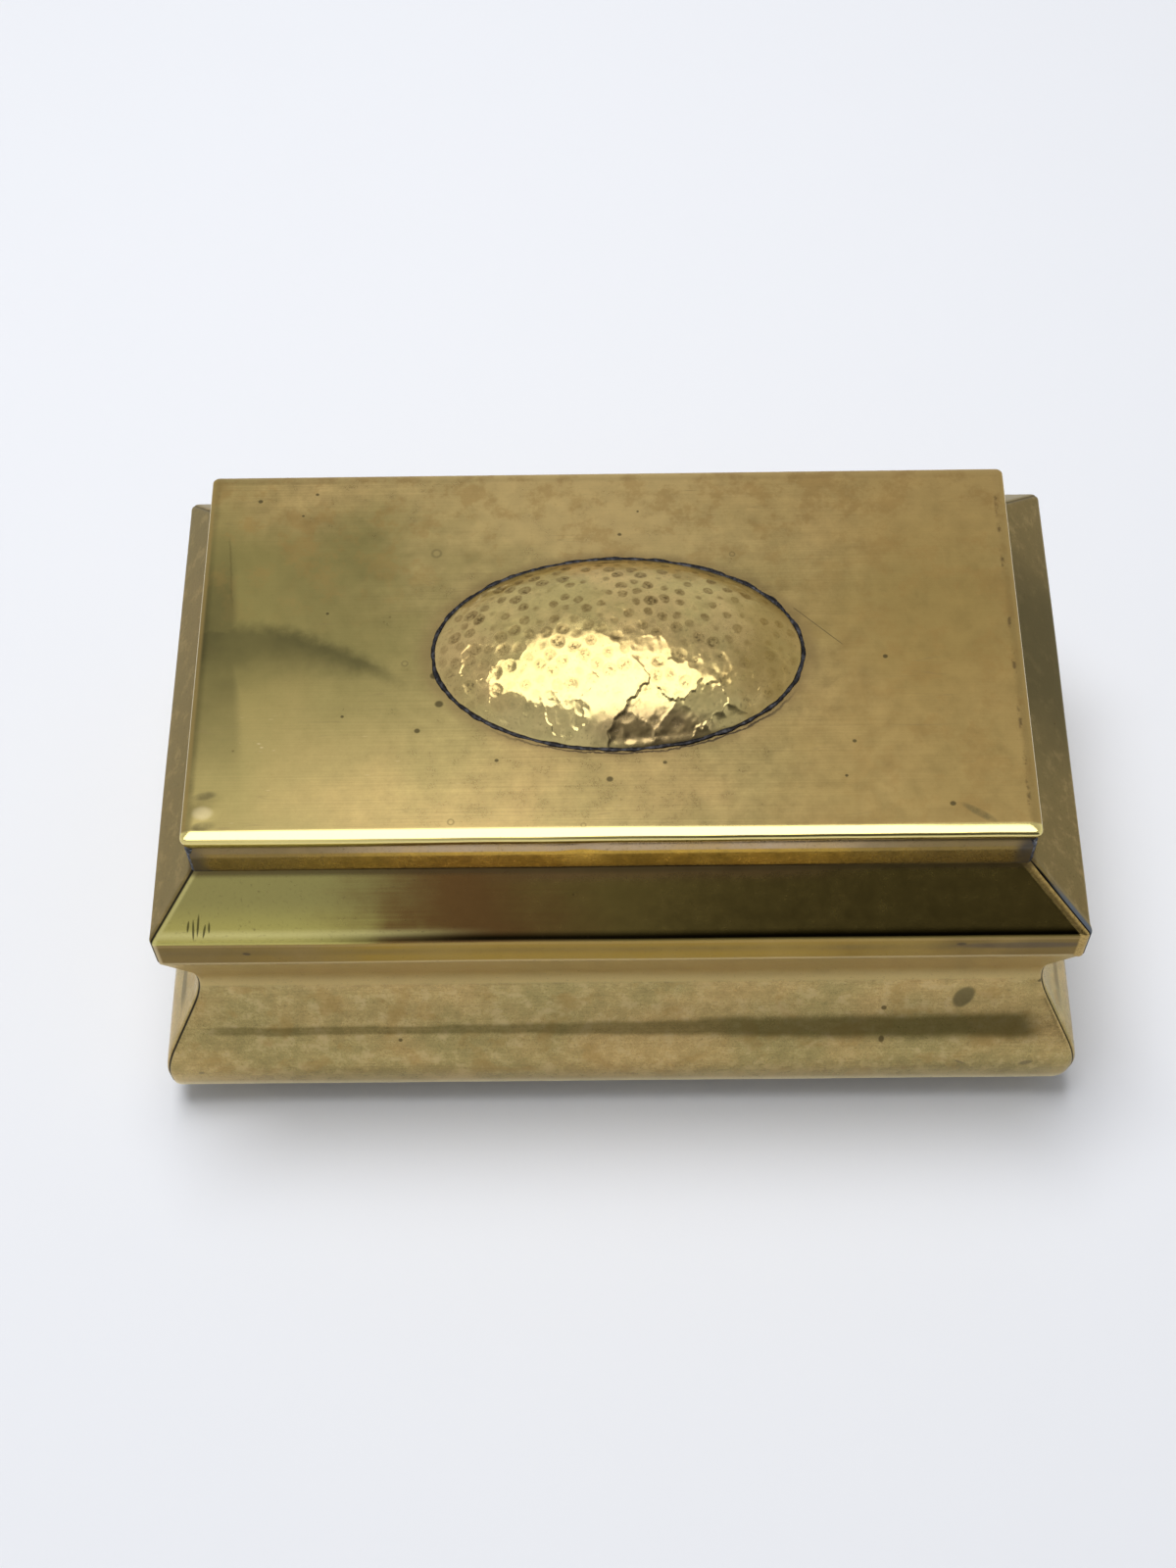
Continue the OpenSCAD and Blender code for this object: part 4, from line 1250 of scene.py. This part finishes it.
def knuckleTree():
    t = Tree("knuckleRow", **{"Pitch": 24.0, "Count": 3, "Long": 11.85, "Radius": 1.1,
                              "Chamfer": 0.12, "Finish": "material"})
    half = t.size("Long") * 0.5
    rod = t.node("GeometryNodeCurvePrimitiveLine", None, {
        "Start": t.node("ShaderNodeCombineXYZ", None, {0: 0 - half, 1: 0.0, 2: 0.0}),
        "End": t.node("ShaderNodeCombineXYZ", None, {0: half, 1: 0.0, 2: 0.0})})
    fine = t.node("GeometryNodeResampleCurve", None, {"Curve": rod, "Count": 97})
    along = t.group.nodes.new("GeometryNodeSplineParameter")
    fromEnd = Wire(t.group, along.outputs["Length"])
    fromEnd = fromEnd.sum("MINIMUM", fromEnd, t.size("Long") - fromEnd)
    cut = fromEnd.node("ShaderNodeMapRange", None, {
        "Value": fromEnd, "From Min": 0.0, "From Max": t.size("Chamfer"),
        "To Min": t.size("Chamfer"), "To Max": 0.0})
    section = t.node("GeometryNodeCurvePrimitiveCircle", {"mode": "RADIUS"},
                     {"Resolution": 32, "Radius": 1.0})
    knuckle = t.node("GeometryNodeCurveToMesh", None, {
        "Curve": fine, "Profile Curve": section, "Scale": t.size("Radius") - cut,
        "Fill Caps": True})
    row = t.node("GeometryNodeMeshLine", None, {
        "Count": t.size("Count"),
        "Start Location": t.node("ShaderNodeCombineXYZ", None, {
            0: t.size("Pitch") * (t.size("Count") - 1) * -0.5, 1: 0.0, 2: 0.0}),
        "Offset": t.node("ShaderNodeCombineXYZ", None, {0: t.size("Pitch"), 1: 0.0, 2: 0.0})})
    knucklesInRow = t.node("GeometryNodeInstanceOnPoints", None, {"Points": row, "Instance": knuckle})
    size = t.node("GeometryNodeTransform", None, {
        "Geometry": knucklesInRow, "Translation": hingePlace * mm, "Scale": (mm, mm, mm)})
    return t.end(size, t.size("Finish"))


hingeBrass = Brass("hingeBrass", hingeLook).finished(0.004)
knuckles = knuckleTree()
for name, body, node, count in (("caseKnuckles", "case", "case_knuckles", 3),
                                ("lidKnuckles", "lid", "lid_knuckles", 2)):
    row = grown(name, knuckles, **{"Count": count, "Finish": hingeBrass,
                                   "Pitch": 2 * barrel["long"] / barrel["knuckles"],
                                   "Long": barrel["long"] / barrel["knuckles"] - barrel["gap"],
                                   "Radius": barrel["radius"], "Chamfer": barrel["chamfer"]})
    tidyMesh(row, 30)
    place(row, body, "hinge_brass", hingeBrass, node)
for name in ("hinge_pin", "base_screws", "base_plate"):
    finishNode(name, hingeBrass)
print("hinge made")


# Wood and baize
def woodFinish(name, grain, dark, pale, gloss):
    # grain is the axis along which it runs: 0, 1 or 2
    f = Finish(name)
    where = f.join(f.x, f.y, f.z)
    long = tuple(40.0 if k == grain else 2.2 for k in range(3))
    fine = tuple(9.0 if k == grain else 0.22 for k in range(3))
    rings = f.cloud(where, long, 3.0, 0.5, 4.0)
    bands = (rings * 9).sum("SINE", rings * 26) * 0.5 + 0.5
    pores = f.cloud(where, fine, 3.0, 0.7, 8.0)
    colour = (bands * 0.35 + rings * 0.5).clamp().tint(pale, dark)
    colour = (pores.over(0.55, 0.75) * 0.45).tint(colour, dark)
    return f.set(Base_Color=colour, Roughness=gloss + pores * 0.2,
                 Normal=f.bump(pores.under(0.5, 0.8) + bands * 0.15, 0.03))


cedarFinish = {axis: woodFinish("cedar" + "XYZ"[axis], axis, (0.20, 0.075, 0.035),
                                (0.42, 0.20, 0.11), 0.45) for axis in (0, 1)}
easedEdges = 0.25


def easedCopy(name, width):
    # a CAD node's shape as one clean mesh with its edges eased
    node = frame["nodes"][name]
    words = name.split("_")
    piece = bpy.data.objects.new(words[0] + "".join(w.capitalize() for w in words[1:]),
                                 node.data.copy())
    bpy.context.scene.collection.objects.link(piece)
    work = bmesh.new()
    work.from_mesh(piece.data)
    bmesh.ops.remove_doubles(work, verts=work.verts, dist=0.001 * mm)
    bmesh.ops.dissolve_limit(work, angle_limit=math.radians(0.5), verts=work.verts,
                             edges=work.edges)
    work.to_mesh(piece.data)
    work.free()
    bevel = piece.modifiers.new("eased", "BEVEL")
    bevel.width, bevel.segments, bevel.limit_method = width * mm, 2, "ANGLE"
    bevel.angle_limit = math.radians(50)
    applied(piece)
    tidyMesh(piece, 40)
    return piece


cedarGrain = {"cedar_floor": 0, "cedar_front": 0, "cedar_back": 0, "cedar_left": 1,
              "cedar_right": 1, "divider_left": 1, "divider_right": 1, "scoop_left": 1,
              "scoop_middle": 1, "scoop_right": 1}
for name, grain in cedarGrain.items():
    place(easedCopy(name, easedEdges), "case", "cedar", cedarFinish[grain], name)
stainedWood = woodFinish("stainedWood", 0, (0.035, 0.014, 0.008), (0.11, 0.045, 0.022), 0.35)
place(easedCopy("base_board", 0.4), "case", "base_wood", stainedWood, "base_board")


def baizeFinish():
    f = Finish("baize")
    where = f.join(f.x, f.y, f.z)
    nap = f.cloud(where, 0.35, 4.0, 0.75, 2.0)
    worn = f.cloud(where, 14.0, 3.0, 0.5, 6.0)
    colour = (nap * 0.6 + worn * 0.4).over(0.3, 0.75).tint((0.012, 0.055, 0.03),
                                                           (0.05, 0.17, 0.09))
    return f.set(Base_Color=colour, Roughness=0.95, Normal=f.bump(nap, 0.25),
                 Sheen_Weight=0.5, Sheen_Roughness=0.4)


baizePiece = easedCopy("baize_pad", 0.2)
place(baizePiece, "case", "baize", baizeFinish(), "baize_pad")
print("lining and base made")


# Floor and light
studio = {
    "floor": (0.83, 0.85, 0.895),
    "floorHalf": 1.5,           # m
    "lowAmbient": (0.035, 0.035, 0.036),
    "highAmbient": (0.34, 0.34, 0.35),
    "horizon": (0.80, 0.81, 0.83),
    "zenith": (0.50, 0.50, 0.50),
    "boxPlace": (-0.06, -0.075, 0.62),
    "boxSize": (0.70, 0.56),
    "boxGlow": 2.35,            # brightness of its face; a white floor is 1
    "skyPlace": (-0.09, 0.13, 0.78),
    "skySize": (0.42, 0.36),
    "skyGlow": 11.2,
    # dark card in front: the height's share and how bright it looks there
    "flag": ((0.0, 0.05), (0.35, 0.075), (0.62, 0.17), (1.0, 0.42)),
    "flagTop": 560,             # mm
    "flagFade": (-130, 50),     # its left edge, from nothing to full
}


def makeFloor():
    half = studio["floorHalf"] / mm
    corners = [(sx * half, sy * half, 0) for sx, sy in ((-1, -1), (1, -1), (1, 1), (-1, 1))]
    floor = meshPiece("floor", corners, [(0, 1, 2, 3)])
    f = Finish("paper")
    grain = f.cloud(f.place, 0.02, 4.0, 0.6, 1.0)
    colour = (grain * 0.06).tint(studio["floor"], (0.7, 0.71, 0.74))
    floor.data.materials.append(f.set(Base_Color=colour, Roughness=0.75))


def makeWorld():
    world = bpy.data.worlds.new("studio")
    world.use_nodes = True
    bpy.context.scene.world = world
    tree = world.node_tree
    wire = Wire(tree)
    parts = tree.nodes.new("ShaderNodeSeparateXYZ")
    tree.links.new(wire.node("ShaderNodeTexCoord").socket, parts.inputs[0])
    up = Wire(tree, parts.outputs[2])
    shown = up.over(0.1, 0.95).tint(studio["horizon"], studio["zenith"])
    ambient = up.over(-0.1, 1.0).tint(studio["lowAmbient"], studio["highAmbient"])
    path = tree.nodes.new("ShaderNodeLightPath")
    camera, glossy, through = (Wire(tree, path.outputs[k]) for k in (
        "Is Camera Ray", "Is Glossy Ray", "Is Transmission Ray"))
    colour = (camera + glossy + through).clamp().tint(ambient, shown)
    tree.links.new(colour.socket, tree.nodes["Background"].inputs[0])


def makeLamp(name, place, size, glow):
    data = bpy.data.lights.new(name, "AREA")
    data.shape = "RECTANGLE"
    data.size, data.size_y = size
    data.energy = glow * math.pi * data.size * data.size_y
    lamp = bpy.data.objects.new(name, data)
    lamp.location = place
    aim = Vector((0, 0, 0.04)) - Vector(place)
    lamp.rotation_mode = "QUATERNION"
    lamp.rotation_quaternion = aim.to_track_quat("-Z", "Y")
    bpy.context.scene.collection.objects.link(lamp)
    return lamp


def makeFlag(name, corners):
    # a dark card that only the metal sees
    card = meshPiece(name, corners, [(0, 1, 2, 3)])
    f = Finish(name + "Cloth")
    weave = f.cloud(f.place, 0.03, 2.0)
    high = f.z / studio["flagTop"] + (weave - 0.5) * 0.04
    stops = [(where, (shade,) * 3) for where, shade in studio["flag"]]
    glow = f.wire.node("ShaderNodeValToRGB", {"stops": stops}, {0: high})
    glow = f.x.over(*studio["flagFade"]).tint(studio["horizon"], glow)
    card.data.materials.append(f.set(
        Base_Color=(0.0, 0.0, 0.0, 1.0), Roughness=1.0, Specular_IOR_Level=0.0,
        Emission_Color=glow, Emission_Strength=1.0))
    card.visible_camera = False
    card.visible_diffuse = False
    card.visible_shadow = False


makeFloor()
makeWorld()
# the softbox is what the metal mirrors, and the lamp behind it lights the floor
softbox = makeLamp("softbox", studio["boxPlace"], studio["boxSize"], studio["boxGlow"])
softbox.visible_diffuse = False
skyLamp = makeLamp("skyLamp", studio["skyPlace"], studio["skySize"], studio["skyGlow"])
skyLamp.visible_glossy = False
makeFlag("frontFlag", [(-130, -420, 0), (430, -380, 0), (430, -380, 560), (-130, -420, 560)])

scene = bpy.context.scene
scene.view_settings.view_transform = "Standard"
print("stage made")
